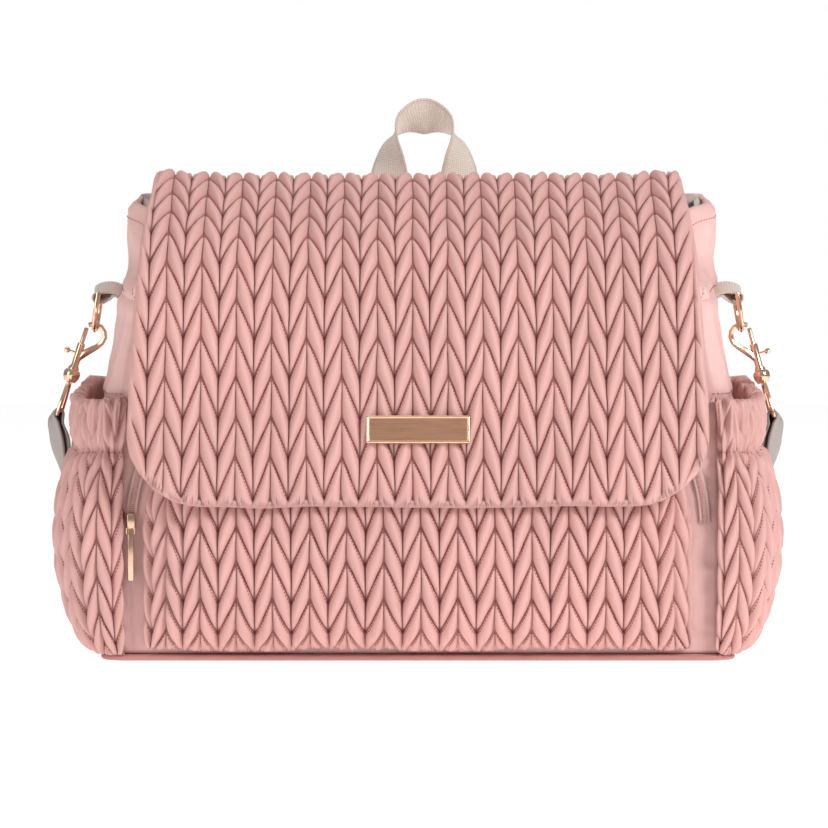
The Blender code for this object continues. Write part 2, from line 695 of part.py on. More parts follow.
STRAP_Y = 0.0985         # the strap lies on the floor along this line behind the bag
STRAP_Z = 0.0011
PLY = 0.0026             # from one ply of webbing to the next
SLIDER_X = 0.060
SLIDER_LEVEL = 0.0062
SLIDER_WRAP = 0.0023     # radius of the strap's turn about the slide's middle bar


def strap_leg(side, sign, inner):
    """Stations from the swivel's bar down to the floor behind the bag. inner moves the ply inwards."""
    bar = clip_frame(side, sign) @ Vector((0, 0, LOOP_BAR_Z))
    out, y, z = sign * bar.x, CLIP_Y, bar.z
    stations = [
        (out + 0.0026 - inner * 1.7, y + 0.0005, z - 0.0030, -0.05, 1.0, 0.05),
        (out + 0.0010 - inner * 1.3, y + 0.0100, z - 0.0200, -0.12, 0.88, 0.45),
        (out - 0.0030 - inner, y + 0.0360, z - 0.0480, -0.42, 0.74, 0.52),
        (out - 0.0110 - inner, y + 0.0560, z - 0.0780, -0.55, 0.75, 0.36),
        (out - 0.0200 - inner, STRAP_Y - 0.004, z - 0.1080, -0.35, 0.92, 0.20),
        (out - 0.0290 - inner, STRAP_Y - 0.001, 0.0150 + inner * 0.7, -0.12, 0.99, 0.06),
        (out - 0.0365 - inner, STRAP_Y, 0.0066 + inner * 0.9, -0.06, 1.0, 0.03),
        (out - 0.0445 - inner, STRAP_Y, 0.0026 + inner, 0.0, 1.0, 0.0),
        (out - 0.0540 - inner, STRAP_Y, 0.0013 + inner, 0.0, 1.0, 0.0),
        (out - 0.0660 - inner, STRAP_Y, STRAP_Z + inner, 0.0, 1.0, 0.0)]
    return [(sign * px, py, pz, sign * wx, wy, wz) for px, py, pz, wx, wy, wz in stations]


def over_bar(side, sign, outside_first):
    """Stations over the swivel's bar, through its loop."""
    frame, around = clip_frame(side, sign), 0.0028
    turns = range(0, 181, 36)
    stations = []
    for degrees in turns if outside_first else reversed(turns):
        a = math.radians(degrees)
        at = frame @ Vector((-around * math.cos(a), 0, LOOP_BAR_Z + around * math.sin(a)))
        stations.append((*at, sign * -0.05, 1.0, 0.0))
    return stations


def make_strap():
    """One length of webbing: sewn round the right swivel, along the floor behind the bag, up through
    the left swivel and back to the slide adjuster, whose middle bar holds its other end."""
    right_tail = strap_leg("right", 1, PLY)[:2]
    left_down = strap_leg("left", -1, PLY)
    floor_run = [(x, STRAP_Y, STRAP_Z, 0, 1, 0) for x in (SLIDER_X + 0.05, SLIDER_X - 0.05, SLIDER_X - 0.10)]
    under, over, turn_x = STRAP_Z + PLY, SLIDER_LEVEL + SLIDER_WRAP, SLIDER_X
    second_ply = [(turn_x - 0.100, STRAP_Y, under, 0, 1, 0), (turn_x - 0.030, STRAP_Y, under, 0, 1, 0)]
    for degrees in range(-90, 91, 30):
        a = math.radians(degrees)
        second_ply.append((turn_x + SLIDER_WRAP * math.cos(a), STRAP_Y,
                           SLIDER_LEVEL + SLIDER_WRAP * math.sin(a), 0, 1, 0))
    second_ply += [(turn_x - 0.0160, STRAP_Y, over, 0, 1, 0), (turn_x - 0.034, STRAP_Y, under + PLY, 0, 1, 0),
                   (turn_x - 0.044, STRAP_Y, under + PLY, 0, 1, 0)]
    route = list(reversed(right_tail)) + over_bar("right", 1, False) + strap_leg("right", 1, 0.0)
    route += floor_run + list(reversed(strap_leg("left", -1, 0.0))) + over_bar("left", -1, True)
    ribbon("shoulder_strap", route + left_down + second_ply, 3, WEBBING, WEBBING_THICK, "webbing")


def make_slide_adjuster():
    """Three-bar slide: the strap's end is sewn round its middle bar."""
    half_long, half_wide, radius = 0.0100, 0.0150, 0.0011
    corners = [(-half_long, -half_wide), (half_long, -half_wide), (half_long, half_wide), (-half_long, half_wide)]
    middle = Vector((SLIDER_X, STRAP_Y, SLIDER_LEVEL))
    ring = [middle + Vector((x, y, 0)) for x, y in corners]
    frame = as_mesh(wire("slide_adjuster_frame", ring, radius, None, closed=True, into=CUTTERS), CUTTERS)
    ends = [middle - Vector((0, half_wide, 0)), middle + Vector((0, half_wide, 0))]
    bar = as_mesh(wire("slide_adjuster", ends, radius, None, into=CUTTERS), BAG)
    bar.data.materials.append(finish("rose_gold"))
    boolean(bar, frame, "UNION")


make_body()
make_piping()
make_front_pocket()
make_zip()
make_side_pockets()
make_flap()
make_handle()
make_clips()
make_strap()
make_slide_adjuster()
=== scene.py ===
"""Looks of a quilted diaper bag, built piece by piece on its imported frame.

Every piece is in the frame's own metres: +Z up, the front faces -Y, the origin is under the middle of the base.
"""
import math

import bmesh
import bpy
import numpy as np
from mathutils import Matrix, Vector, noise


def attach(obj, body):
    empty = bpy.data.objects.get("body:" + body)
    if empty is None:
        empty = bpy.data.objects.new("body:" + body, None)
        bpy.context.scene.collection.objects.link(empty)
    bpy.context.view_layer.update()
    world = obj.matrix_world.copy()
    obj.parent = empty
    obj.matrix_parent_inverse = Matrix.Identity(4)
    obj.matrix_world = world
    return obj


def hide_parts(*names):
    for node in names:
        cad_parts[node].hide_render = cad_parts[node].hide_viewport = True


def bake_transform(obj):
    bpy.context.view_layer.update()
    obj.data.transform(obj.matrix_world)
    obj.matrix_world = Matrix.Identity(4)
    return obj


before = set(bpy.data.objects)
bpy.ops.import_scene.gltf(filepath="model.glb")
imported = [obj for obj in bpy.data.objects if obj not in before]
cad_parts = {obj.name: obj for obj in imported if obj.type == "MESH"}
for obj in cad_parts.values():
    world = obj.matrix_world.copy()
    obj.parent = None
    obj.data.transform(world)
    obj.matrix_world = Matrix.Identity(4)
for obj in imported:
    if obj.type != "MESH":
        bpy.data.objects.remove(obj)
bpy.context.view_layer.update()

# ---- Room ----
# A pale sweep of seamless floor, soft boxes above and at both sides, and a long lens a little above the
# middle of the bag. The room's white is what the camera sees; the light in it falls off towards the floor.


def colour(code):
    """sRGB hex to the linear colour that shaders take."""
    channels = [int(code[i:i + 2], 16) / 255 for i in (0, 2, 4)]
    return [c / 12.92 if c <= 0.04045 else ((c + 0.055) / 1.055) ** 2.4 for c in channels] + [1.0]


def add_node(tree, kind, sockets=None, **settings):
    """One node with its settings. A socket takes a value, or another node's output."""
    made = tree.nodes.new(kind)
    for name, value in settings.items():
        setattr(made, name, value)
    for name, value in (sockets or {}).items():
        if isinstance(value, bpy.types.NodeSocket):
            tree.links.new(value, made.inputs[name])
        else:
            made.inputs[name].default_value = value
    return made


def new_material(name):
    """An empty material, with its tree and its output node."""
    made = bpy.data.materials.new(name)
    made.use_nodes = True
    made.node_tree.nodes.clear()
    return made, made.node_tree, made.node_tree.nodes.new("ShaderNodeOutputMaterial")


def soft_box(name, at, towards, size, watts):
    light = bpy.data.lights.new(name, "AREA")
    light.shape = "RECTANGLE"
    light.size, light.size_y = size
    light.energy = watts
    lamp = bpy.data.objects.new(name, light)
    lamp.location = at
    lamp.rotation_euler = (Vector(towards) - Vector(at)).to_track_quat("-Z", "Y").to_euler()
    bpy.context.scene.collection.objects.link(lamp)


scene = bpy.context.scene
scene.view_settings.view_transform = "Standard"

lens_height, lens_away = math.radians(1.6), 2.4
aim = Vector((-0.0024, -0.050, 0.1490))
camera = bpy.data.objects.new("camera", bpy.data.cameras.new("camera"))
camera.location = aim + lens_away * Vector((0, -math.cos(lens_height), math.sin(lens_height)))
camera.rotation_euler = (aim - camera.location).to_track_quat("-Z", "Y").to_euler()
camera.data.sensor_width = 36
camera.data.lens = 36 * lens_away / 0.4985
scene.collection.objects.link(camera)
scene.camera = camera

soft_box("key_box", (1.35, -1.25, 1.15), (0, 0, 0.15), (0.6, 0.6), 25.5)
soft_box("fill_box", (-1.5, -1.3, 0.7), (0, 0, 0.15), (0.8, 1.2), 8)
soft_box("top_box", (-0.2, 0.3, 1.6), (0, 0, 0.1), (1.2, 0.9), 5)

world = bpy.data.worlds.new("white_room")
scene.world = world
world.use_nodes = True
air = world.node_tree
air.nodes.clear()
height = add_node(air, "ShaderNodeSeparateXYZ", {
    "Vector": add_node(air, "ShaderNodeTexCoord").outputs["Generated"]})
fall_off = add_node(air, "ShaderNodeMapRange", {
    "Value": height.outputs["Z"], "From Min": -0.1, "From Max": 0.9, "To Min": 0.22, "To Max": 0.46})
lit = add_node(air, "ShaderNodeBackground", {"Color": (1, 1, 1, 1), "Strength": fall_off.outputs["Result"]})
seen = add_node(air, "ShaderNodeBackground", {"Color": (1, 1, 1, 1), "Strength": 1.0})
which = add_node(air, "ShaderNodeMixShader", {
    0: add_node(air, "ShaderNodeLightPath").outputs["Is Camera Ray"], 1: lit.outputs[0], 2: seen.outputs[0]})
add_node(air, "ShaderNodeOutputWorld", {"Surface": which.outputs[0]})

# White lacquered board: nearly white, with a soft reflection of what stands on it.
lacquer, tree, out = new_material("white_lacquer_board")
surface = add_node(tree, "ShaderNodeBsdfPrincipled", {
    "Base Color": colour("FBFAFA"), "Roughness": 0.12, "Specular IOR Level": 0.35,
    "Emission Color": (1, 1, 1, 1), "Emission Strength": 0.68})
tree.links.new(surface.outputs[0], out.inputs["Surface"])
floor_mesh = bpy.data.meshes.new("floor")
floor_mesh.from_pydata([(-6, -6, 0), (6, -6, 0), (6, 6, 0), (-6, 6, 0)], [], [(0, 1, 2, 3)])
floor_mesh.materials.append(lacquer)
floor = bpy.data.objects.new("floor", floor_mesh)
scene.collection.objects.link(floor)

# ---- Body ----
# The upright shell: front, back and two gussets of satin nylon over thin foam, sewn together at the corners
# and piped round a stiff base. It is unstructured, so it puckers at the seams and sags in slow folds.
FRONT_Y, FRONT_LEAN = -0.050, 0.065
BACK_Y, BACK_LEAN = 0.078, 0.028
BODY_CORNER = 0.012
PANEL_BASE_Z = 0.0046
LINING_INSET = 0.0072
MOUTH_FRONT, MOUTH_BACK = 0.222, 0.285
HALF_WIDTH = [(0.0, 0.188), (0.08, 0.189), (0.16, 0.188), (0.225, 0.178), (0.30, 0.177)]
GUSSET_BULGE = [(0.0, 0.0), (0.05, 0.004), (0.16, 0.006), (0.225, 0.005), (0.30, 0.004)]


def curve_table(stations, count=600):
    """(distance, values) along a smooth curve through (place, ...) stations, for reading with numpy."""
    places = np.array([s[0] for s in stations], float)
    values = np.array([s[1:] for s in stations], float)
    steps = np.diff(places)[:, None]
    rates = np.diff(values, axis=0) / steps
    slopes = np.vstack([rates[:1], (rates[:-1] * steps[1:] + rates[1:] * steps[:-1]) / (steps[1:] + steps[:-1]),
                        rates[-1:]])
    at = np.linspace(places[0], places[-1], count)
    i = np.clip(np.searchsorted(places, at, side="right") - 1, 0, len(steps) - 1)
    span = steps[i]
    t = ((at - places[i])[:, None]) / span
    made = (values[i] * (2 * t ** 3 - 3 * t ** 2 + 1) + slopes[i] * span * (t ** 3 - 2 * t ** 2 + t)
            + values[i + 1] * (3 * t ** 2 - 2 * t ** 3) + slopes[i + 1] * span * (t ** 3 - t ** 2))
    return at, made


def by_length(points):
    """The points again, each with its distance along them in front."""
    gaps = [(Vector(b[:3]) - Vector(a[:3])).length for a, b in zip(points, points[1:])]
    return [(s, *p) for s, p in zip([0.0, *np.cumsum(gaps)], points)]


def read(table, at, column=0):
    """The table's values, carried straight on past its ends."""
    x, y = table[0], table[1][:, column]
    below, above = np.minimum(at - x[0], 0), np.maximum(at - x[-1], 0)
    return (np.interp(at, x, y) + below * (y[1] - y[0]) / (x[1] - x[0])
            + above * (y[-1] - y[-2]) / (x[-1] - x[-2]))


def ripples(points, size, seed=0.0):
    """Smooth noise from -1 to 1 at each point, with features about this size."""
    shift = Vector((seed, seed * 1.7, seed * 0.6))
    return np.array([noise.noise(Vector(p) / size + shift) for p in points])


def smooth_step(value):
    value = np.clip(value, 0.0, 1.0)
    return value * value * (3 - 2 * value)


def reworked(mesh, work):
    """The mesh after work(bm) on it."""
    bm = bmesh.new()
    bm.from_mesh(mesh)
    work(bm)
    bm.to_mesh(mesh)
    bm.free()


def piece(name, points, faces, material, flat=None, painted_seam_shade=None):
    """A smooth-shaded mesh object. flat is its UV map in metres, and the last argument is how much shade is painted
    into its seams, 0 to 1.
    """
    mesh = bpy.data.meshes.new(name)
    mesh.from_pydata([tuple(p) for p in points], [], [tuple(f) for f in faces])
    mesh.shade_smooth()
    mesh.materials.append(material)
    if flat is not None:
        corner = np.zeros(len(mesh.loops), np.int32)
        mesh.loops.foreach_get("vertex_index", corner)
        layer = mesh.uv_layers.new(name="cloth")
        layer.data.foreach_set("uv", np.asarray(flat, np.float32)[corner].ravel())
    if painted_seam_shade is not None:
        mesh.attributes.new("painted_seam_shade", "FLOAT", "POINT").data.foreach_set("value", np.asarray(painted_seam_shade, np.float32))
    made = bpy.data.objects.new(name, mesh)
    scene.collection.objects.link(made)
    return made


def open_tree(name, **sizes):
    """A geometry node tree with these named inputs, given as their kinds: (tree, inputs)."""
    tree = bpy.data.node_groups.new(name, "GeometryNodeTree")
    for said, kind in {"geometry": "Geometry", **sizes}.items():
        tree.interface.new_socket(name=said.replace("_", " ").title(), in_out="INPUT",
                                  socket_type="NodeSocket" + kind)
    tree.interface.new_socket(name="Geometry", in_out="OUTPUT", socket_type="NodeSocketGeometry")
    return tree, tree.nodes.new("NodeGroupInput").outputs


def close_tree(tree, geometry, material):
    painted = add_node(tree, "GeometryNodeSetMaterial", {"Geometry": geometry, "Material": material})
    add_node(tree, "NodeGroupOutput", {"Geometry": painted.outputs[0]})
    return tree


def set_inputs(modifier, **inputs):
    """Set a modifier's tree and its inputs, each by its socket's identifier."""
    named = {item.name: item.identifier for item in modifier.node_group.interface.items_tree
             if item.in_out == "INPUT"}
    for name, value in inputs.items():
        modifier[named[name.replace("_", " ").title()]] = value


def stitch_tree():
    """Geometry nodes that lay a short thread at even steps along every line."""
    tree, given = open_tree("machine_stitches", stitch_step="Float", stitch_length="Float",
                            thread_radius="Float", thread="Material")
    curve = add_node(tree, "GeometryNodeMeshToCurve", {"Mesh": given["Geometry"]})
    even = add_node(tree, "GeometryNodeResampleCurve", {"Curve": curve.outputs[0], "Length": given["Stitch Step"]},
                    mode="LENGTH")
    stitch = add_node(tree, "GeometryNodeMeshIcoSphere", {"Radius": 1.0, "Subdivisions": 1})
    half = add_node(tree, "ShaderNodeMath", {0: given["Stitch Length"], 1: 0.5}, operation="MULTIPLY")
    size = add_node(tree, "ShaderNodeCombineXYZ", {
        "X": given["Thread Radius"], "Y": given["Thread Radius"], "Z": half.outputs[0]})
    turn = add_node(tree, "FunctionNodeAlignRotationToVector", {
        "Vector": tree.nodes.new("GeometryNodeInputTangent").outputs[0]}, axis="Z")
    laid = add_node(tree, "GeometryNodeInstanceOnPoints", {
        "Points": even.outputs[0], "Instance": stitch.outputs["Mesh"], "Rotation": turn.outputs[0],
        "Scale": size.outputs[0]})
    real = add_node(tree, "GeometryNodeRealizeInstances", {"Geometry": laid.outputs[0]})
    return close_tree(tree, real.outputs[0], given["Thread"])


def grown(obj, tree, **inputs):
    """obj's mesh as the tree makes it, with the modifier gone."""
    modifier = obj.modifiers.new("grow", "NODES")
    modifier.node_group = tree
    set_inputs(modifier, **inputs)
    graph = bpy.context.evaluated_depsgraph_get()
    mesh = bpy.data.meshes.new_from_object(obj.evaluated_get(graph))
    obj.modifiers.remove(modifier)
    obj.data = mesh
    return obj


def lines_object(name, lines):
    """Edges only: one open line of points each."""
    points, edges = [], []
    for line in lines:
        edges += [(len(points) + i, len(points) + i + 1) for i in range(len(line) - 1)]
        points += [tuple(p) for p in line]
    mesh = bpy.data.meshes.new(name)
    mesh.from_pydata(points, edges, [])
    made = bpy.data.objects.new(name, mesh)
    scene.collection.objects.link(made)
    return made


STITCHES = stitch_tree()


def satin(name, face, seam, sheen):
    """Satin-woven nylon: long float threads give it a broad soft shine. Where its seams sink in, its colour is
    mixed towards the seam colour as painted shade.
    """
    made, tree, out = new_material(name)
    cloth = add_node(tree, "ShaderNodeUVMap", uv_map="cloth").outputs[0]
    where = add_node(tree, "ShaderNodeTexCoord").outputs["Object"]
    painted_seam_shade = add_node(tree, "ShaderNodeAttribute", attribute_name="painted_seam_shade").outputs["Fac"]
    patch = add_node(tree, "ShaderNodeTexNoise", {"Vector": where, "Scale": 14.0, "Detail": 3.0})
    tone = add_node(tree, "ShaderNodeMapRange", {"Value": patch.outputs["Fac"], "From Min": 0.3, "From Max": 0.7,
                                                 "To Min": 0.94, "To Max": 1.05})
    toned = add_node(tree, "ShaderNodeVectorMath", {0: colour(face)[:3], "Scale": tone.outputs[0]},
                     operation="SCALE")
    # Painted shade: where the seam-shade attribute is high, deep in the seams, the colour goes over to the seam
    # colour.
    deep = add_node(tree, "ShaderNodeMapRange", {"Value": painted_seam_shade, "From Min": 0.55, "From Max": 1.0,
                                                 "To Min": 0.0, "To Max": 1.0})
    seam_shaded_colour = add_node(tree, "ShaderNodeMix", {"Factor": deep.outputs[0], 6: toned.outputs[0], 7: colour(seam)},
                     data_type="RGBA")
    # The weave is 0.15 mm in the cloth and is drawn at 0.8 mm, or it wouldn't show.
    threads = add_node(tree, "ShaderNodeTexWave", {"Vector": cloth, "Scale": 0.314 / 0.0008, "Distortion": 0.6,
                                                   "Detail": 1.0, "Detail Scale": 1.0}, bands_direction="DIAGONAL")
    creases = add_node(tree, "ShaderNodeTexNoise", {"Vector": where, "Scale": 170.0, "Detail": 4.0,
                                                    "Roughness": 0.6})
    puckered = add_node(tree, "ShaderNodeBump", {"Height": creases.outputs["Fac"], "Strength": 0.26,
                                                 "Distance": 0.001})
    woven = add_node(tree, "ShaderNodeBump", {"Height": threads.outputs["Fac"], "Strength": 0.10,
                                              "Distance": 0.0002, "Normal": puckered.outputs[0]})
    rough = add_node(tree, "ShaderNodeMapRange", {"Value": creases.outputs["Fac"], "To Min": 0.40, "To Max": 0.56})
    surface = add_node(tree, "ShaderNodeBsdfPrincipled", {
        "Base Color": seam_shaded_colour.outputs[2], "Roughness": rough.outputs[0], "Specular IOR Level": 0.42,
        "Sheen Weight": sheen, "Sheen Roughness": 0.35, "Sheen Tint": colour("F3CFC8"),
        "Normal": woven.outputs[0]})
    tree.links.new(surface.outputs[0], out.inputs["Surface"])
    return made


def thread(name, code):
    """Spun polyester thread: matt, a shade darker than its cloth, with the twist as a faint stripe."""
    made, tree, out = new_material(name)
    where = add_node(tree, "ShaderNodeTexCoord").outputs["Object"]
    twist = add_node(tree, "ShaderNodeTexWave", {"Vector": where, "Scale": 0.314 / 0.0006},
                     bands_direction="DIAGONAL")
    shade = add_node(tree, "ShaderNodeMapRange", {"Value": twist.outputs["Fac"], "To Min": 0.8, "To Max": 1.1})
    dyed = add_node(tree, "ShaderNodeVectorMath", {0: colour(code)[:3], "Scale": shade.outputs[0]},
                    operation="SCALE")
    surface = add_node(tree, "ShaderNodeBsdfPrincipled", {"Base Color": dyed.outputs[0], "Roughness": 0.7})
    tree.links.new(surface.outputs[0], out.inputs["Surface"])
    return made


half_table, bulge_table = curve_table(HALF_WIDTH), curve_table(GUSSET_BULGE)


def front_y(z):
    return FRONT_Y + FRONT_LEAN * z


def back_y(z):
    return BACK_Y - BACK_LEAN * z


def gusset_x(y, z, inset=0.0):
    """Half width of the body at this depth and height, rounded into the upright corners."""
    front, back, corner = front_y(z) + inset, back_y(z) - inset, max(BODY_CORNER - inset, 0.004)
    into = np.maximum(np.maximum(front + corner - y, y - (back - corner)), 0)
    q = np.clip((y - front) / (back - front), 0, 1)
    round_by = np.sqrt(np.maximum(corner ** 2 - np.minimum(into, corner) ** 2, 0))
    return read(half_table, z) - inset - corner + round_by + read(bulge_table, z) * np.sin(np.pi * q) ** 2


def mouth_z(q):
    """Height of the mouth, q from the front panel to the back. The gussets' tops are full in the middle."""
    return MOUTH_FRONT + (MOUTH_BACK - MOUTH_FRONT) * q ** 0.55 + 0.005 * np.sin(np.pi * q) ** 2


def ring_of_body(inset, low, top_drop, heights):
    """Rows of points round the body, anticlockwise from above: (points, side 0-3, share from front to back)."""
    across = np.linspace(-1, 1, 111)[:-1]
    deep = 0.5 - 0.5 * np.cos(np.pi * np.linspace(0, 1, 61))[:-1]
    side = np.repeat([0, 1, 2, 3], [110, 60, 110, 60])
    share = np.concatenate([np.zeros(110), deep, np.ones(110), 1 - deep])
    along_x = np.concatenate([across, np.ones(60), -across, -np.ones(60)])
    t = np.asarray(heights)[:, None]
    z = low + (mouth_z(share)[None, :] - top_drop - low) * t
    y = front_y(z) + inset + (back_y(z) - front_y(z) - 2 * inset) * share
    corner = max(BODY_CORNER - inset, 0.004)
    flat_x = along_x * (read(half_table, z) - inset - corner)
    side_x = np.sign(along_x) * gusset_x(y, z, inset)
    x = np.where((side % 2 == 0)[None, :], flat_x, side_x)
    # The back corners stand out as square shoulders. The gussets' tops lean in under the flap, and roll over.
    squared = smooth_step((share[None, :] - 0.45) / 0.35)
    out_by = np.where(along_x > 0, 0.0095, 0.0045)
    x = x + (along_x * out_by)[None, :] * squared * smooth_step((z - 0.200) / 0.035)
    turn_over = 0.015 - 0.009 * squared
    roll_in = (0.013 - 0.0085 * squared) * smooth_step(1 - (mouth_z(share)[None, :] - top_drop - z) / turn_over)
    lean_in = 0.021 * smooth_step((z - 0.218) / 0.030) * (1 - share[None, :]) ** 1.2
    ends = smooth_step(share[None, :] / 0.10) * smooth_step((1 - share[None, :]) / 0.06)
    x = x - np.sign(x) * (side % 2 == 1)[None, :] * (roll_in + lean_in) * ends
    return np.stack([x, y, z], -1), side, share


def grid_normals(points, closed):
    """Unit normals of a grid of points, whose columns run round it and whose rows run up it."""
    if closed:
        across = np.roll(points, -1, 1) - np.roll(points, 1, 1)
    else:
        across = np.gradient(points, axis=1)
    made = np.cross(across, np.gradient(points, axis=0))
    return made / np.maximum(np.linalg.norm(made, axis=2), 1e-12)[..., None]


def grid_faces(rows, columns, closed, first=0):
    made = []
    for j in range(rows - 1):
        for i in range(columns if closed else columns - 1):
            on = (i + 1) % columns
            made.append((first + j * columns + i, first + j * columns + on,
                         first + (j + 1) * columns + on, first + (j + 1) * columns + i))
    return made


def walled(name, outer, inner, closed, material, flat, painted_seam_shade, merge=0.0):
    """A closed shell between two grids of points, whose outer face looks along outer's normals."""
    rows, columns = outer.shape[:2]
    count = rows * columns
    faces = grid_faces(rows, columns, closed) + [f[::-1] for f in grid_faces(rows, columns, closed, count)]
    run = range(columns if closed else columns - 1)
    for j, turned in ((0, False), (rows - 1, True)):
        for i in run:
            a, b = j * columns + i, j * columns + (i + 1) % columns
            quad = (b, a, a + count, b + count)
            faces.append(quad[::-1] if turned else quad)
    if not closed:
        for i, turned in ((0, True), (columns - 1, False)):
            for j in range(rows - 1):
                a, b = j * columns + i, (j + 1) * columns + i
                quad = (b, a, a + count, b + count)
                faces.append(quad[::-1] if turned else quad)
    points = np.vstack([outer.reshape(-1, 3), inner.reshape(-1, 3)])
    uv = np.vstack([flat.reshape(-1, 2)] * 2)
    # The inner face gets the painted seam shade too, at three tenths of its strength.
    made = piece(name, points, faces, material, uv, np.concatenate([painted_seam_shade.ravel(), 0.3 * painted_seam_shade.ravel()]))
    if merge:
        reworked(made.data, lambda bm: bmesh.ops.remove_doubles(bm, verts=bm.verts, dist=merge))
    return made


def girth(points):
    """Distance along each row of a grid from its first point."""
    steps = np.linalg.norm(np.diff(points, axis=1), axis=2)
    return np.concatenate([np.zeros((len(points), 1)), np.cumsum(steps, axis=1)], axis=1)


def ripple_grid(points, size, seed=0.0):
    return ripples(points.reshape(-1, 3), size, seed).reshape(points.shape[:2])


# The same satin as the quilting, with its colour lifted above the quilted satin's as painted light, so the plain
# strips read bright where they stand in shade between the pockets. Its seam colour is painted shade.
PLAIN_SATIN_PAINTED_LIGHTER = satin("plain_satin_nylon_painted_lighter", "E6BAB4", "8A4541", 0.3)

body_rows = np.linspace(0, 1, 105)
body, side, share = ring_of_body(0.0, PANEL_BASE_Z, 0.0, body_rows)
body_girth = girth(body)
body_z = body[..., 2]
upright_seams = [110, 170, 280, 339]
to_upright = np.min([np.abs(body_girth - body_girth[:, k:k + 1]) for k in upright_seams], axis=0)
on_gusset = (side % 2 == 1)[None, :]
seam_level = np.where(on_gusset, 0.216 + 0.010 * np.sqrt(share)[None, :], 9.0)
on_strip = on_gusset | ((side == 0)[None, :] & (np.abs(body[..., 0]) > 0.145))
lower_level = np.where(on_strip, 0.1580 + 0.004 * share[None, :], 9.0)
to_level = np.minimum(np.abs(body_z - seam_level), np.abs(body_z - lower_level))
to_foot = body_z - PANEL_BASE_Z
to_hem = mouth_z(share)[None, :] - body_z
stretched = np.stack([body_girth, body_z * 0.25, np.zeros_like(body_z)], -1)
crossing = np.stack([body_girth * 0.25, body_z, np.zeros_like(body_z)], -1)
pucker = (0.0011 * np.exp(-to_upright / 0.010) * ripple_grid(crossing, 0.0052, 1.0)
          + 0.0010 * np.exp(-to_level / 0.011) * ripple_grid(stretched, 0.0062, 2.0)
          + 0.0012 * np.exp(-to_foot / 0.013) * ripple_grid(stretched, 0.0070, 3.0)
          + 0.0008 * np.exp(-to_hem / 0.010) * ripple_grid(stretched, 0.0060, 4.0))
slanted = np.stack([body[..., 1] + 0.5 * body_z, 0.35 * (body_z - 0.5 * body[..., 1]), body[..., 0]], -1)
folds = (0.0030 * ripple_grid(slanted, 0.030, 5.0) * on_gusset * smooth_step(to_upright / 0.020)
         * (1 - 0.75 * smooth_step((body_z - 0.215) / 0.030))
         + 0.0013 * ripple_grid(body, 0.036, 6.0) + 0.0005 * ripple_grid(body, 0.011, 7.0)
         + 0.0035 * on_gusset * smooth_step((body_z - 0.235) / 0.025) * np.sin(np.pi * share)[None, :])
# The two front corners are turned seams, pressed flat, so they hardly show.
pressed = np.where(share < 0.25, 0.25, 1.0)[None, :]
seam_dip = (0.0016 * pressed * np.exp(-(to_upright / 0.0014) ** 2) + 0.0014 * np.exp(-(to_level / 0.0014) ** 2)
            + 0.0007 * np.exp(-((to_hem - 0.0085) / 0.0009) ** 2))
swell = 0.0008 * np.exp(-((to_level - 0.006) / 0.004) ** 2)
edge_roll = 0.0013 * np.clip(1 - to_hem / 0.002, 0, 1) ** 2 + 0.0009 * np.clip(1 - to_foot / 0.002, 0, 1) ** 2
still = smooth_step(to_foot / 0.004)
body_off = (pucker + folds + swell) * still - seam_dip - edge_roll
body_out = body + grid_normals(body, True) * body_off[..., None]
body_in = body + grid_normals(body, True) * (np.minimum(0.5 * body_off, 0.0006) - 0.0030)[..., None]
# Painted shade along the body's seams, weaker at the pressed front corners.
body_seam_shade_paint = 0.95 * np.maximum((0.5 + 0.5 * pressed) * np.exp(-(to_upright / 0.0010) ** 2),
                             np.exp(-(to_level / 0.0009) ** 2))
body_flat = np.stack([body_girth, body_z], -1)
body_shell = walled("body_shell", body_out, body_in, True, PLAIN_SATIN_PAINTED_LIGHTER, body_flat, body_seam_shade_paint)
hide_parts("front_panel", "back_panel", "back_foam", "left_gusset_lower", "left_gusset_upper",
            "right_gusset_lower", "right_gusset_upper")

row_points = body_out + grid_normals(body, True) * 0.0002


def row_at(heights, first=0, last=340):
    """Points on the cloth at these heights, one for each upright column of its grid."""
    return [[np.interp(heights[i], body_z[:, i], row_points[:, i, k]) for k in range(3)]
            for i in range(first, last)]


hem_line = row_at(mouth_z(share) - 0.0085)
level_lines = [row_at(level[0] + 0.0028, first, last) for level, first, last in (
    (seam_level, 124, 168), (seam_level, 282, 326), (lower_level, 112, 168), (lower_level, 282, 338))]
ROSE_THREAD = thread("rose_polyester_thread", "B2605B")
SEAM_STITCH = {"stitch_step": 0.0030, "stitch_length": 0.0021}
body_stitches = grown(lines_object("body_stitches", [hem_line] + level_lines), STITCHES,
                      **SEAM_STITCH, thread_radius=0.00030, thread=ROSE_THREAD)
for sewn in (body_shell, body_stitches):
    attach(sewn, "bag")

# ---- Base ----
# A stiffened board in the same satin, let into the foot of the body, with a corded piping sewn round it.


def rounded_loop(half_x, half_y, radius, steps=8):
    """Anticlockwise points of a rounded rectangle about the origin."""
    made = []
    for cx, cy, start in ((1, -1, -90), (1, 1, 0), (-1, 1, 90), (-1, -1, 180)):
        for k in range(steps + 1):
            a = math.radians(start + 90 * k / steps)
            made.append((cx * (half_x - radius) + radius * math.cos(a),
                         cy * (half_y - radius) + radius * math.sin(a)))
    return made


def slab(name, half_x, half_y, radius, profile, place, material):
    """A rounded plate from (inset, height) steps, each put in space by place(x, y, height)."""
    loops = [[place(x, y, high) for x, y in rounded_loop(half_x - inset, half_y - inset,
                                                         max(radius - inset, 0.0004))]
             for inset, high in profile]
    count = len(loops[0])
    points = [p for loop in loops for p in loop]
    faces = [(j * count + i, j * count + (i + 1) % count, (j + 1) * count + (i + 1) % count, (j + 1) * count + i)
             for j in range(len(loops) - 1) for i in range(count)]
    faces += [tuple(reversed(range(count))), tuple(range(len(points) - count, len(points)))]
    return piece(name, points, faces, material, [(p[0], p[1]) for p in points])


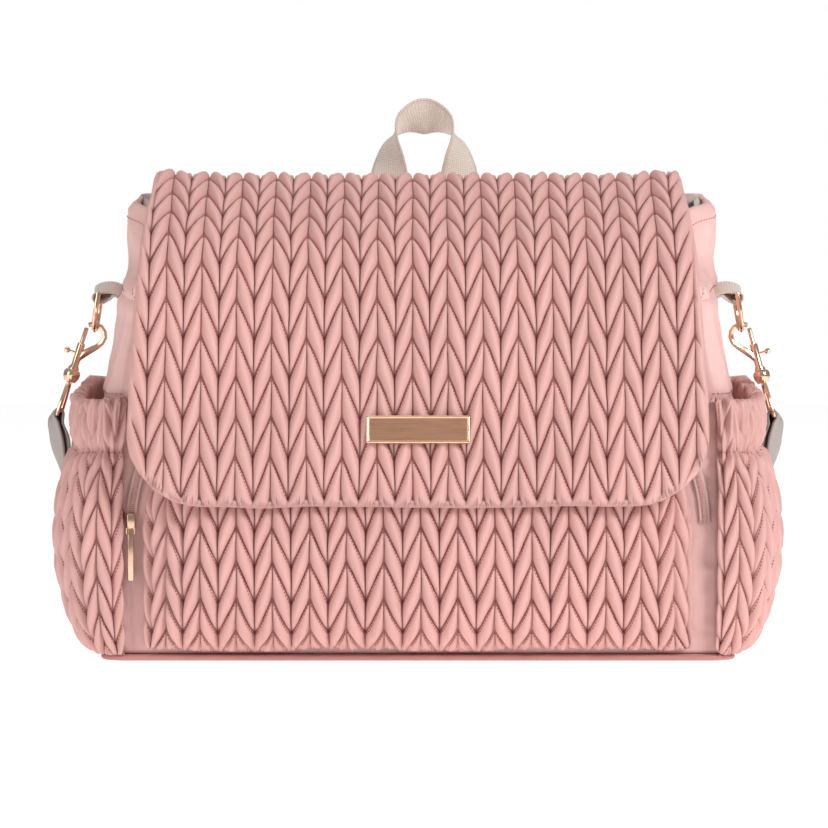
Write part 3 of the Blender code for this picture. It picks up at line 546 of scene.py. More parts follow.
def tube(name, path, radius, material, closed=False, sides=10, reach=None):
    """A round cord along path. radius is one number or one for each point."""
    path = np.asarray(path, float)
    radius = np.broadcast_to(radius, len(path))
    ahead = np.roll(path, -1, 0) - np.roll(path, 1, 0)
    if not closed:
        ahead[0], ahead[-1] = path[1] - path[0], path[-1] - path[-2]
    ahead /= np.linalg.norm(ahead, axis=1)[:, None]
    first = np.cross(ahead, reach if reach is not None else (0.0, 0.0, 1.0))
    first /= np.maximum(np.linalg.norm(first, axis=1), 1e-9)[:, None]
    second = np.cross(first, ahead)
    angle = np.linspace(0, 2 * np.pi, sides, endpoint=False)
    ring = (path[:, None, :] + radius[:, None, None] * (first[:, None, :] * np.cos(angle)[None, :, None]
                                                        + second[:, None, :] * np.sin(angle)[None, :, None]))
    count = len(path)
    faces = [(j * sides + i, ((j + 1) % count) * sides + i, ((j + 1) % count) * sides + (i + 1) % sides,
              j * sides + (i + 1) % sides) for j in range(count if closed else count - 1) for i in range(sides)]
    if not closed:
        faces += [tuple(range(sides)), tuple(reversed(range((count - 1) * sides, count * sides)))]
    length = np.concatenate([[0], np.cumsum(np.linalg.norm(np.diff(path, axis=0), axis=1))])
    flat = np.stack([np.repeat(length[:, None], sides, 1), np.broadcast_to(angle * 0.002, (count, sides))], -1)
    return piece(name, ring.reshape(-1, 3), faces, material, flat.reshape(-1, 2))


base_panel = slab("base_cover", 0.188, 0.064, BODY_CORNER,
                  [(0.0010, 0.0), (0.0003, 0.0004), (0.0, 0.0012), (0.0, 0.0030), (0.0006, 0.0038),
                   (0.0020, 0.0041)], lambda x, y, z: (x, y + 0.014, z), PLAIN_SATIN_PAINTED_LIGHTER)
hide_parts("base_panel")

PIPED_SATIN = satin("piped_satin_nylon", "B87F7C", "8F4743", 0.2)
piping_path = [(x, y + 0.014, 0.0023) for x, y in rounded_loop(0.1902, 0.0662, 0.0142, 14)]
piping_path = [Vector(a).lerp(Vector(b), k / n) for a, b in zip(piping_path, piping_path[1:] + piping_path[:1])
               for n in [max(1, round((Vector(b) - Vector(a)).length / 0.0016))] for k in range(n)]
piping_size = 0.00185 * (1 + 0.05 * ripples(piping_path, 0.006, 2.0))
base_piping = tube("base_piping_cord", piping_path, piping_size, PIPED_SATIN, closed=True)
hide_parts("base_piping")
for sewn in (base_panel, base_piping):
    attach(sewn, "bag")

# ---- Lining ----
# A loose bag of plain-woven polyester hung from the mouth, with a slip pocket sewn to its back wall.


def plain_weave(name, face, size):
    """Plain-woven polyester: matt, with its threads crossing at right angles."""
    made, tree, out = new_material(name)
    cloth = add_node(tree, "ShaderNodeUVMap", uv_map="cloth").outputs[0]
    warp = add_node(tree, "ShaderNodeTexWave", {"Vector": cloth, "Scale": 0.314 / size}, bands_direction="X")
    weft = add_node(tree, "ShaderNodeTexWave", {"Vector": cloth, "Scale": 0.314 / size}, bands_direction="Y")
    crossed = add_node(tree, "ShaderNodeMath", {0: warp.outputs["Fac"], 1: weft.outputs["Fac"]},
                       operation="MULTIPLY")
    shade = add_node(tree, "ShaderNodeMapRange", {"Value": crossed.outputs[0], "To Min": 0.88, "To Max": 1.05})
    dyed = add_node(tree, "ShaderNodeVectorMath", {0: colour(face)[:3], "Scale": shade.outputs[0]},
                    operation="SCALE")
    raised = add_node(tree, "ShaderNodeBump", {"Height": crossed.outputs[0], "Strength": 0.2,
                                               "Distance": 0.0002})
    surface = add_node(tree, "ShaderNodeBsdfPrincipled", {
        "Base Color": dyed.outputs[0], "Roughness": 0.72, "Sheen Weight": 0.1, "Normal": raised.outputs[0]})
    tree.links.new(surface.outputs[0], out.inputs["Surface"])
    return made


# The yarns are 0.25 mm apart and are drawn at 1 mm.
LINING_CLOTH = plain_weave("plain_woven_polyester", "C9BDB3", 0.001)

wall = ring_of_body(LINING_INSET, 0.0115, 0.0020, np.linspace(0, 1, 60))[0]
wall_dent = 0.0008 * np.minimum(ripple_grid(wall, 0.022, 11.0), 0.2) + 0.0003 * ripple_grid(wall, 0.008, 12.0)
wall_out = wall + grid_normals(wall, True) * (np.minimum(wall_dent, 0.0004))[..., None]
wall_in = wall_out - grid_normals(wall, True) * 0.0010
foot_shares = np.linspace(0.0, 0.97, 14)
middle = np.array([0.0, 0.0142])
foot_out = np.array([np.concatenate([middle + (wall_out[0][:, :2] - middle) * k,
                                     np.full((340, 1), 0.0115)], axis=1) for k in foot_shares])
foot_in = np.array([np.concatenate([middle + (wall_in[0][:, :2] - middle) * k,
                                    np.full((340, 1), 0.0125)], axis=1) for k in foot_shares])
lining_out, lining_in = np.vstack([foot_out, wall_out]), np.vstack([foot_in, wall_in])
lining_flat = np.stack([lining_out[..., 0] + lining_out[..., 1], lining_out[..., 2] + lining_out[..., 1]], -1)
lining = walled("lining_bag", lining_out, lining_in, True, LINING_CLOTH, lining_flat,
                np.zeros(lining_out.shape[:2]), merge=1e-5)
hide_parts("lining")

u, v = np.meshgrid(np.linspace(-1, 1, 81), np.linspace(0, 1, 41))
pocket_z = 0.030 + 0.125 * v
ease = 0.0078 * v * np.cos(0.5 * np.pi * u) + 0.0008 * np.sin(24 * u) * v * np.cos(0.5 * np.pi * u)
slip_out = np.stack([0.115 * u, back_y(pocket_z) - LINING_INSET - 0.0036 - ease, pocket_z], -1)
slip_out[-3:, :, 1] -= np.array([0.0004, 0.0006, 0.0003])[:, None]
slip_in = slip_out + np.array([0, 0.0010, 0])
slip_pocket = walled("slip_pocket_cloth", slip_out, slip_in, False, LINING_CLOTH,
                     np.stack([0.115 * u, pocket_z], -1), np.zeros_like(u))
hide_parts("inner_slip_pocket")
slip_rows = [slip_out[-6] - [0, 0.0002, 0], slip_out[3:-2, 2] - [0, 0.0002, 0],
             slip_out[3:-2, -3] - [0, 0.0002, 0], slip_out[3, 2:-2] - [0, 0.0002, 0]]
LINING_THREAD = thread("grey_polyester_thread", "A89C92")
slip_stitches = grown(lines_object("slip_pocket_stitches", slip_rows), STITCHES, **SEAM_STITCH,
                      thread_radius=0.00028, thread=LINING_THREAD)
for sewn in (lining, slip_pocket, slip_stitches):
    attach(sewn, "bag")

# Split-proof board and moulded foam that stiffen the base, seen only when the bag is taken apart.
BOARD, tree, out = new_material("grey_polypropylene_board")
grain = add_node(tree, "ShaderNodeTexNoise", {
    "Vector": add_node(tree, "ShaderNodeTexCoord").outputs["Object"], "Scale": 900.0})
raised = add_node(tree, "ShaderNodeBump", {"Height": grain.outputs["Fac"], "Strength": 0.2, "Distance": 0.0002})
surface = add_node(tree, "ShaderNodeBsdfPrincipled", {
    "Base Color": colour("6E6A68"), "Roughness": 0.5, "Normal": raised.outputs[0]})
tree.links.new(surface.outputs[0], out.inputs["Surface"])

# ---- Front pocket ----
# A wide pocket of puff-quilted satin. Vertical seams divide it into columns, and zigzag seams cross them, so
# the filling stands up in slanting leaves that read as a plait. Its top corners are round, and it zips open.


class Plait:
    """A plaited quilting: its column width, row pitch, how far a seam drops over a column, and one low point."""

    def __init__(self, column, pitch, drop, low_u, low_v):
        self.column, self.pitch, self.drop, self.low_u, self.low_v = column, pitch, drop, low_u, low_v

    def zigzag(self, a):
        return np.abs(1 - np.mod(a, 2))

    def places(self, u, v):
        """(column, row) of flat points, where whole numbers are seams."""
        a = (u - self.low_u) / self.column
        return a, (v - self.low_v - self.drop * (self.zigzag(a) - 1)) / self.pitch

    def fullness(self, u, v):
        """How far each point stands up, 0 in the seams to about 1 on a leaf, how near a low point it is, and
        how much shade is painted into its seam."""
        a, s = self.places(u, v)
        f, g = a - np.floor(a), s - np.floor(s)
        to_column, to_row = np.minimum(f, 1 - f) * self.column, np.minimum(g, 1 - g) * self.pitch
        across = np.clip(to_column / 0.0044, 0, 1)
        leaf = np.sqrt(np.clip(1 - (1 - across) ** 2, 0, 1)) * np.sin(np.pi * g) ** 0.66
        lot = np.sin(np.floor(a) * 127.1 + np.floor(s) * 311.7) * 43758.5453
        lot = lot - np.floor(lot)
        leaf *= 0.88 + 0.16 * lot + 0.16 * (lot - 0.5) * (2 * f - 1)
        flat = [(0.3 * x, y, 0.0) for x, y in zip(u, v)]
        leaf += 0.13 * np.exp(-to_row / 0.0050) * np.sqrt(across) * ripples(flat, 0.0030, 31.0)
        low_seam = self.zigzag(np.round(a))
        low = np.exp(-(to_column ** 2 + (0.40 * to_row) ** 2) / 0.0021 ** 2) * np.where(low_seam > 0.5, 1.0, 0.45)
        # Painted shade: the seams are darkened as the leaves fall away into them, most at the V-bottom low points.
        on_column = to_column < 0.36 * to_row
        painted_shade = np.where(on_column, np.where(low_seam > 0.5, 0.92, 0.78), 0.84) * (1 - leaf)
        return leaf, low, np.maximum(painted_shade, low)

    def rows_over(self, v_range):
        return (math.floor((v_range[0] - self.low_v - abs(self.drop)) / self.pitch) - 1,
                math.ceil((v_range[1] - self.low_v + abs(self.drop)) / self.pitch) + 1)

    def sheet(self, u_range, v_range):
        """Flat quads whose edges lie along the seams, over at least this area: (points, faces)."""
        in_column = [0.0, 0.07, 0.19, 0.34, 0.5, 0.66, 0.81, 0.93]
        in_row = [0.5 - 0.5 * math.cos(math.pi * k / 12) for k in range(12)]
        first, last = (math.floor((u_range[0] - self.low_u) / self.column),
                       math.ceil((u_range[1] - self.low_u) / self.column))
        low, high = self.rows_over(v_range)
        a = np.array([i + f for i in range(first, last) for f in in_column] + [last])
        s = np.array([k + g for k in range(low, high) for g in in_row] + [high])
        u = self.low_u + a * self.column
        v = self.low_v + self.drop * (self.zigzag(a) - 1)[:, None] + s[None, :] * self.pitch
        points = np.stack([np.repeat(u[:, None], len(s), 1), v], -1).reshape(-1, 2)
        i, k = np.meshgrid(np.arange(len(a) - 1), np.arange(len(s) - 1), indexing="ij")
        corner = (i * len(s) + k).ravel()
        faces = np.stack([corner, corner + len(s), corner + len(s) + 1, corner + 1], -1)
        near = ((points[faces, 1] > v_range[0] - 0.001).any(1) & (points[faces, 1] < v_range[1] + 0.001).any(1))
        return points, faces[near]

    def seams(self, u_range, v_range, step=0.0011):
        """The zigzag seams as lists of flat points."""
        us = np.arange(u_range[0], u_range[1], step)
        a = (us - self.low_u) / self.column
        low, high = self.rows_over(v_range)
        return [np.stack([us, self.low_v + self.drop * (self.zigzag(a) - 1) + k * self.pitch], -1)
                for k in range(low, high)]


def inside(outline, flat):
    """How far flat points are inside a convex outline that runs anticlockwise."""
    ring = np.array(outline)
    ahead = np.roll(ring, -1, 0) - ring
    inward = np.stack([-ahead[:, 1], ahead[:, 0]], -1) / np.linalg.norm(ahead, axis=1)[:, None]
    deepest = np.full(len(flat), np.inf)
    for start, normal in zip(ring, inward):
        deepest = np.minimum(deepest, (flat - start) @ normal)
    return deepest


def cut_to(outline, points, faces):
    """The flat quads cut to a convex outline."""
    depth = inside(outline, points)
    faces = faces[(depth[faces] > 0).any(1)]
    used, index = np.unique(faces, return_inverse=True)
    mesh = bpy.data.meshes.new("flat")
    mesh.from_pydata([(*p, 0.0) for p in points[used]], [], index.reshape(-1, 4).tolist())
    bm = bmesh.new()
    bm.from_mesh(mesh)
    bpy.data.meshes.remove(mesh)
    for start, end in zip(outline, outline[1:] + outline[:1]):
        ahead = Vector(end) - Vector(start)
        bmesh.ops.bisect_plane(bm, geom=bm.verts[:] + bm.edges[:] + bm.faces[:], dist=1e-6,
                               plane_co=(*start, 0), plane_no=(ahead.y, -ahead.x, 0), clear_outer=True)
    bmesh.ops.remove_doubles(bm, verts=bm.verts, dist=2e-5)
    flat = np.array([v.co[:2] for v in bm.verts])
    rim = np.array([v.is_boundary for v in bm.verts])
    cut_faces = [[v.index for v in f.verts] for f in bm.faces]
    bm.free()
    return flat, rim, cut_faces


def rounded_outline(corners, steps=7):
    """An anticlockwise outline from (u, v, radius) corners."""
    made = []
    for before, here, after in zip(corners[-1:] + corners[:-1], corners, corners[1:] + corners[:1]):
        at, back, on = Vector(here[:2]), Vector(before[:2]), Vector(after[:2])
        into, away = (back - at).normalized(), (on - at).normalized()
        reach = here[2] / math.tan(into.angle(away) / 2)
        first, last = at + into * reach, at + away * reach
        bisect = (into + away).normalized()
        centre = at + bisect * (here[2] / math.sin(into.angle(away) / 2))
        for k in range(steps + 1):
            arm = (first - centre).lerp(last - centre, k / steps).normalized() * here[2]
            made.append(tuple(centre + arm))
    return made


def normals_of(surface, u, v):
    """Unit normals of surface(u, v), by small steps on it."""
    h = 0.0002
    along_u, along_v = surface(u + h, v) - surface(u - h, v), surface(u, v + h) - surface(u, v - h)
    made = np.cross(along_u, along_v)
    return made / np.maximum(np.linalg.norm(made, axis=1), 1e-12)[:, None]


class QuiltedShell:
    """Quilted cloth with filling: an outer face in leaves, a plain inner face, and an edge rolled between them.

    surface(u, v) is the outer face, and its du x dv points out of the cloth."""

    def __init__(self, plait, outline, surface, thick, high, hem, proud, low_point=0.0, calm=None,
                 extra=None, flip=1):
        self.plait, self.outline, self.surface, self.thick, self.high = plait, outline, surface, thick, high
        self.hem, self.proud, self.low_point, self.calm, self.flip = hem, proud, low_point, calm, flip
        self.extra = extra

    def face(self, flat, raised=0.0):
        """Outer face points, and how much shade is painted on each one in the seams."""
        depth = np.maximum(inside(self.outline, flat), 0)
        leaf, low, painted_shade = self.plait.fullness(flat[:, 0], flat[:, 1])
        seam = smooth_step(depth / self.hem)
        if self.calm is not None:
            seam = seam * self.calm(flat)
        roll = np.sqrt(np.clip(1 - (1 - np.minimum(depth / (0.75 * self.thick), 1)) ** 2, 0, 1))
        at = [(*p, 0) for p in flat]
        creases = (ripples(at, 0.0065, 3.0) * 0.00042 + ripples(at, 0.0032, 4.0) * 0.00016) * leaf
        off = (self.proud * roll - 0.5 * self.thick * (1 - roll) - self.high * (1 - leaf) * seam * roll
               - self.low_point * low * seam + creases + raised)
        if self.extra is not None:
            off = off + self.extra(flat)
        u, v = self.shifted(flat)
        return self.surface(u, v) + normals_of(self.surface, u, v) * (self.flip * off)[:, None], painted_shade * seam

    def back(self, flat):
        depth = np.maximum(inside(self.outline, flat), 0)
        roll = np.sqrt(np.clip(1 - (1 - np.minimum(depth / (0.75 * self.thick), 1)) ** 2, 0, 1))
        u, v = self.shifted(flat)
        off = -self.thick + 0.5 * self.thick * (1 - roll)
        if self.extra is not None:
            off = off + self.extra(flat)
        return self.surface(u, v) + normals_of(self.surface, u, v) * (self.flip * off)[:, None]

    def shifted(self, flat):
        """Seams wander a little, as sewn ones do."""
        at = [(*p, 0.0) for p in flat]
        return flat[:, 0] + 0.0008 * ripples(at, 0.024, 5.0), flat[:, 1] + 0.0013 * ripples(at, 0.030, 9.0)

    def make(self, name, material):
        ring = np.array(self.outline)
        flat, rim, faces = cut_to(self.outline, *self.plait.sheet(
            (ring[:, 0].min(), ring[:, 0].max()), (ring[:, 1].min(), ring[:, 1].max())))
        front, painted_seam_shade = self.face(flat)
        back = self.back(flat)
        count = len(flat)
        twin = np.where(rim, np.arange(count), np.arange(count) + count)
        faces = faces if self.flip > 0 else [f[::-1] for f in faces]
        behind = [[twin[i] for i in f][::-1] for f in faces]
        made = piece(name, np.vstack([front, back]), faces + behind, material,
                     np.vstack([flat, flat]), np.concatenate([painted_seam_shade, np.zeros(count)]))
        reworked(made.data, lambda bm: bmesh.ops.delete(
            bm, geom=[v for v in bm.verts if not v.link_faces], context="VERTS"))
        return made

    def stitch_lines(self, inset, beside):
        """The rows of thread beside the zigzag seams on the outer face, as lists of points."""
        ring = np.array(self.outline)
        lines = []
        for seam in self.plait.seams((ring[:, 0].min(), ring[:, 0].max()), (ring[:, 1].min(), ring[:, 1].max())):
            seam = seam + [0.0, beside]
            kept = inside(self.outline, seam) > inset
            if self.calm is not None:
                kept &= self.calm(seam) > 0.55
            for run in np.split(np.arange(len(seam)), np.where(np.diff(kept.astype(int)))[0] + 1):
                if kept[run[0]] and len(run) > 3:
                    lines.append(self.face(seam[run], 0.00018)[0])
        return lines


QUILT_STITCH = {"stitch_step": 0.0021, "stitch_length": 0.0014, "thread_radius": 0.00042, "thread": ROSE_THREAD}
# The quilting's seam colour, a deep red, is painted shade for its sunken seams.
QUILTED_SATIN = satin("quilted_satin_nylon", "D4A49D", "640E0E", 0.25)

POCKET_HALF, POCKET_LOW, POCKET_TURN_Z, POCKET_TURN_R = 0.1662, 0.0062, 0.083, 0.0870
POCKET_DEPTH = [(0.0062, 0.0), (0.0140, 0.0105), (0.026, 0.0175), (0.045, 0.0215), (0.070, 0.0235),
                (0.095, 0.0200), (0.120, 0.0130), (0.145, 0.0060), (0.1700, 0.0)]
depth_table = curve_table(POCKET_DEPTH)


def pocket_point(x, z):
    """Outer face of the front pocket in front of the panel."""
    high = np.clip((z - POCKET_TURN_Z) / POCKET_TURN_R, 0, 1)
    half = POCKET_HALF - POCKET_TURN_R * (1 - np.sqrt(1 - np.minimum(high, 0.999) ** 2))
    across = np.clip(np.abs(x) / half, 0, 1)
    full = np.maximum(read(depth_table, z), 0) * (1 - across ** 6) ** 0.75
    return np.stack([x, front_y(z) - 0.0006 - full - 0.006, z], -1)


def measured(points):
    return np.concatenate([[0], np.cumsum(np.linalg.norm(np.diff(points, axis=0), axis=1))])


zs = np.linspace(POCKET_LOW, 0.170, 400)
up_table = (measured(pocket_point(np.zeros_like(zs), zs)), zs[:, None])
xs = np.linspace(0, POCKET_HALF * 0.9995, 1200)
out_table = (measured(pocket_point(xs, np.full_like(xs, 0.060))), xs[:, None])


def pocket_surface(u, v):
    return pocket_point(np.sign(u) * np.minimum(read(out_table, np.abs(u)), POCKET_HALF), read(up_table, v))


def pocket_flat(x, z):
    return (float(np.sign(x) * np.interp(abs(x), out_table[1][:, 0], out_table[0])),
            float(np.interp(z, up_table[1][:, 0], up_table[0])))


turn = [(POCKET_HALF - POCKET_TURN_R + POCKET_TURN_R * math.cos(a), POCKET_TURN_Z + POCKET_TURN_R * math.sin(a))
        for a in [math.pi / 2 * k / 16 for k in range(17)]]
half_outline = [(u * 0.998, v) for u, v in [pocket_flat(*p) for p in turn]]
wide = half_outline[0][0]
foot = [(wide - 0.010 + 0.010 * math.sin(a), 0.010 - 0.010 * math.cos(a)) for a in
        [math.pi / 2 * k / 6 for k in range(7)]]
pocket_outline = ([(-u, v) for u, v in reversed(foot)] + foot + half_outline
                  + [(-u, v) for u, v in reversed(half_outline)])
pocket_plait = Plait(column=0.01108, pitch=0.0218, drop=-0.0250, low_u=0.0128,
                     low_v=pocket_flat(0, 0.0800)[1])
pocket_shell = QuiltedShell(pocket_plait, pocket_outline, pocket_surface, 0.006, high=0.0052, hem=0.004,
                            proud=0.0014, low_point=0.0014)
front_pocket = pocket_shell.make("quilted_front_pocket", QUILTED_SATIN)
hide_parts("front_pocket")
pocket_stitches = grown(lines_object("front_pocket_stitches", pocket_shell.stitch_lines(0.004, -0.0021)), STITCHES,
                        **QUILT_STITCH)
for sewn in (front_pocket, pocket_stitches):
    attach(sewn, "bag")

# ---- Zip ----
# A coil zip that follows the pocket's top. Woven polyester tape carries a nylon coil, and a cast slider with
# a long flat puller runs on it.
ZIP_R, ZIP_WIDE = 0.0970, 0.0070


def zip_path(radius_by=0.0, lift=0.0):
    """Points over the pocket's top in the front panel's plane, lift in front of it."""
    up, out = Vector((0, FRONT_LEAN, 1)).normalized(), Vector((0, -1, FRONT_LEAN)).normalized()
    radius = ZIP_R + radius_by
    bends = [(-0.076 - radius * math.cos(a), radius * math.sin(a)) for a in
             [math.pi / 2 * k / 60 for k in range(61)]]
    run = bends + [(-0.076 + 0.152 * k / 60, radius) for k in range(1, 60)]
    run += [(-x, w) for x, w in reversed(bends)]
    foot = Vector((0, front_y(POCKET_TURN_Z), POCKET_TURN_Z))
    return [Vector((x, 0, 0)) + foot + up * w + out * lift for x, w in run]


def strip(name, inner, outer, lift, thick, material):
    """A flat tape between two lines of points, which lift moves to its outer face."""
    a, b = np.array(inner), np.array(outer)
    share = np.linspace(0, 1, 7)[:, None, None]
    rows = a[None] * (1 - share) + b[None] * share
    normal = grid_normals(rows, False)
    if normal[3, 100].dot(lift) < 0:
        rows, normal = rows[::-1], grid_normals(rows[::-1], False)
    along = measured(a)
    flat = np.stack([np.broadcast_to(along, rows.shape[:2]), np.broadcast_to(share[:, :, 0] * 0.007,
                                                                             rows.shape[:2])], -1)
    return walled(name, rows + normal * thick, rows, False, material, flat, np.zeros(rows.shape[:2]))


ZIP_TAPE = plain_weave("woven_polyester_zip_tape", "D8B2AB", 0.0008)
tape = strip("zip_tape", zip_path(-0.5 * ZIP_WIDE, 0.0007), zip_path(0.5 * ZIP_WIDE, 0.0007),
             np.array([0, -1, 0]), 0.0011, ZIP_TAPE)
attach(tape, "bag")

# Moulded nylon coil: smooth, a little shiny, dyed with the tape.
ZIP_COIL, tree, out = new_material("nylon_zip_coil")
speckle = add_node(tree, "ShaderNodeTexNoise", {
    "Vector": add_node(tree, "ShaderNodeTexCoord").outputs["Object"], "Scale": 1200.0})
shade = add_node(tree, "ShaderNodeMapRange", {"Value": speckle.outputs["Fac"], "To Min": 0.92, "To Max": 1.05})
dyed = add_node(tree, "ShaderNodeVectorMath", {0: colour("CFA29B")[:3], "Scale": shade.outputs[0]},
                operation="SCALE")
surface = add_node(tree, "ShaderNodeBsdfPrincipled", {"Base Color": dyed.outputs[0], "Roughness": 0.35})
tree.links.new(surface.outputs[0], out.inputs["Surface"])


def tooth_tree():
    """Geometry nodes that set a row of coil turns across a line, at an even pitch."""
    tree, given = open_tree("zip_teeth", pitch="Float", tooth_width="Float", tooth_radius="Float",
                            facing="Vector", finish="Material")
    curve = add_node(tree, "GeometryNodeMeshToCurve", {"Mesh": given["Geometry"]})
    even = add_node(tree, "GeometryNodeResampleCurve", {"Curve": curve.outputs[0], "Length": given["Pitch"]},
                    mode="LENGTH")
    tooth = add_node(tree, "GeometryNodeMeshUVSphere", {"Segments": 8, "Rings": 6, "Radius": 1.0})
    half = add_node(tree, "ShaderNodeMath", {0: given["Tooth Width"], 1: 0.5}, operation="MULTIPLY")
    size = add_node(tree, "ShaderNodeCombineXYZ", {
        "X": half.outputs[0], "Y": given["Tooth Radius"], "Z": given["Tooth Radius"]})
    across = add_node(tree, "ShaderNodeVectorMath", {
        0: tree.nodes.new("GeometryNodeInputTangent").outputs[0], 1: given["Facing"]}, operation="CROSS_PRODUCT")
    turn = add_node(tree, "FunctionNodeAlignRotationToVector", {"Vector": across.outputs[0]}, axis="X")
    laid = add_node(tree, "GeometryNodeInstanceOnPoints", {
        "Points": even.outputs[0], "Instance": tooth.outputs["Mesh"], "Rotation": turn.outputs[0],
        "Scale": size.outputs[0]})
    real = add_node(tree, "GeometryNodeRealizeInstances", {"Geometry": laid.outputs[0]})
    smooth = add_node(tree, "GeometryNodeSetShadeSmooth", {"Geometry": real.outputs[0]})
    return close_tree(tree, smooth.outputs[0], given["Finish"])


coil = grown(lines_object("zip_teeth", [zip_path(0.0, 0.0021)]), tooth_tree(), pitch=0.0012, tooth_width=0.0036,
             tooth_radius=0.00052, facing=(0.0, -1.0, 0.065), finish=ZIP_COIL)
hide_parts("zip_coil")
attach(coil, "bag")


def rose_gold(name, face, rough, streak):
    """Rose-gold plated zinc: a mirror-like pink metal. streak is how far its surface is brushed along X."""
    made, tree, out = new_material(name)
    where = add_node(tree, "ShaderNodeTexCoord").outputs["Object"]
    drawn = add_node(tree, "ShaderNodeMapping", {"Vector": where, "Scale": (18.0, 900.0, 900.0)})
    hair = add_node(tree, "ShaderNodeTexNoise", {"Vector": drawn.outputs[0], "Scale": 3.0, "Detail": 3.0})
    haze = add_node(tree, "ShaderNodeTexNoise", {"Vector": where, "Scale": 220.0, "Detail": 2.0})
    fine = add_node(tree, "ShaderNodeMix", {"Factor": streak, 2: haze.outputs["Fac"], 3: hair.outputs["Fac"]},
                    data_type="FLOAT")
    shade = add_node(tree, "ShaderNodeMapRange", {"Value": fine.outputs[0], "From Min": 0.3, "From Max": 0.7,
                                                  "To Min": 0.9, "To Max": 1.06})
    plated = add_node(tree, "ShaderNodeVectorMath", {0: colour(face)[:3], "Scale": shade.outputs[0]},
                      operation="SCALE")
    dull = add_node(tree, "ShaderNodeMapRange", {"Value": fine.outputs[0], "To Min": rough * 0.7,
                                                 "To Max": rough * 1.3})
    raised = add_node(tree, "ShaderNodeBump", {"Height": fine.outputs[0], "Strength": 0.10 + 0.15 * streak,
                                               "Distance": 0.0002})
    surface = add_node(tree, "ShaderNodeBsdfPrincipled", {
        "Base Color": plated.outputs[0], "Metallic": 1.0, "Roughness": dull.outputs[0],
        "Normal": raised.outputs[0]})
    tree.links.new(surface.outputs[0], out.inputs["Surface"])
    return made


POLISHED_ROSE_GOLD = rose_gold("polished_rose_gold_plate", "ECC6A8", 0.18, 0.0)
BRUSHED_ROSE_GOLD = rose_gold("brushed_rose_gold_plate", "EFB694", 0.30, 1.0)


def finish_tree():
    """Geometry nodes that weld a cast part and shade it smooth, except across its sharp edges."""
    tree, given = open_tree("smooth_casting", sharp_angle="Float", finish="Material")
    welded = add_node(tree, "GeometryNodeMergeByDistance", {"Geometry": given["Geometry"], "Distance": 1e-6})
    smooth = add_node(tree, "GeometryNodeSetShadeSmooth", {"Geometry": welded.outputs[0], "Shade Smooth": True})
    bend = add_node(tree, "GeometryNodeInputMeshEdgeAngle")
    sharp = add_node(tree, "ShaderNodeMath", {0: bend.outputs["Unsigned Angle"], 1: given["Sharp Angle"]},
                     operation="GREATER_THAN")
    edges = add_node(tree, "GeometryNodeSetShadeSmooth", {
        "Geometry": smooth.outputs[0], "Selection": sharp.outputs[0], "Shade Smooth": False}, domain="EDGE")
    real = add_node(tree, "GeometryNodeRealizeInstances", {"Geometry": edges.outputs[0]})
    return close_tree(tree, real.outputs[0], given["Finish"])


CASTING = finish_tree()


def polish(node, material, sharp=0.7):
    """A CAD node's own shape, welded and shaded smooth, in this finish."""
    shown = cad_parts[node]
    shown.data.materials.clear()
    shown.data.materials.append(material)
    modifier = shown.modifiers.new("finish", "NODES")
    modifier.node_group = CASTING
    set_inputs(modifier, sharp_angle=sharp, finish=material)


for node in ("zip_slider", "zip_pull"):
    polish(node, POLISHED_ROSE_GOLD)

# ---- Side pockets ----
# Two bottle pockets in the same quilting. Elastic in a channel below the top gathers each one, and the cloth
# above it stands in a ruffle.
SIDE_LOW, SIDE_TOP, GATHER_Z, SIDE_THICK = 0.0030, 0.165, 0.130, 0.0055
SIDE_DEPTH = [(0.0030, 0.0005), (0.0080, 0.0085), (0.016, 0.0150), (0.035, 0.0212), (0.055, 0.0240),
              (0.075, 0.0246), (0.10, 0.0218), (0.118, 0.0165), (0.130, 0.0118), (0.145, 0.0120), (0.165, 0.0128)]
side_table = curve_table(SIDE_DEPTH)


def side_point(sign, t, z):
    """Outer face of a side pocket, t from the front panel's edge round the gusset to the back panel's."""
    front, back = front_y(z), back_y(z)

    def on_body(t):
        y = front + (back - front) * (0.5 - 0.5 * np.cos(np.pi * t))
        return gusset_x(y, z), y

    (x, y), (x0, y0), (x1, y1) = on_body(t), on_body(t - 0.004), on_body(t + 0.004)
    ahead = np.stack([x1 - x0, y1 - y0], -1)
    ahead /= np.maximum(np.linalg.norm(ahead, axis=-1), 1e-9)[..., None]
    plump = (1 - np.abs(np.clip(2 * t - 1, -1, 1)) ** 3.2) ** 0.8
    off = 0.0006 + SIDE_THICK + np.maximum(read(side_table, z), 0) * plump
    off = off - 0.0040 * np.exp(-((y - 0.030) / 0.018) ** 2) * smooth_step((z - 0.125) / 0.030)
    level = z + (0.0115 * smooth_step((y + 0.02) / 0.08) - 0.0065) * smooth_step((z - 0.100) / 0.060)
    return np.stack([sign * (x + ahead[..., 1] * off), y - ahead[..., 0] * off, level], -1)


ts = np.linspace(0, 1, 900)
side_out = (measured(side_point(1, ts, np.full_like(ts, 0.075))), ts[:, None])
zs = np.linspace(SIDE_LOW, SIDE_TOP, 400)
side_up = (measured(side_point(1, np.full_like(zs, 0.5), zs)), zs[:, None])
side_long, side_high = side_out[0][-1], side_up[0][-1]
gather_v = float(np.interp(GATHER_Z, zs, side_up[0]))


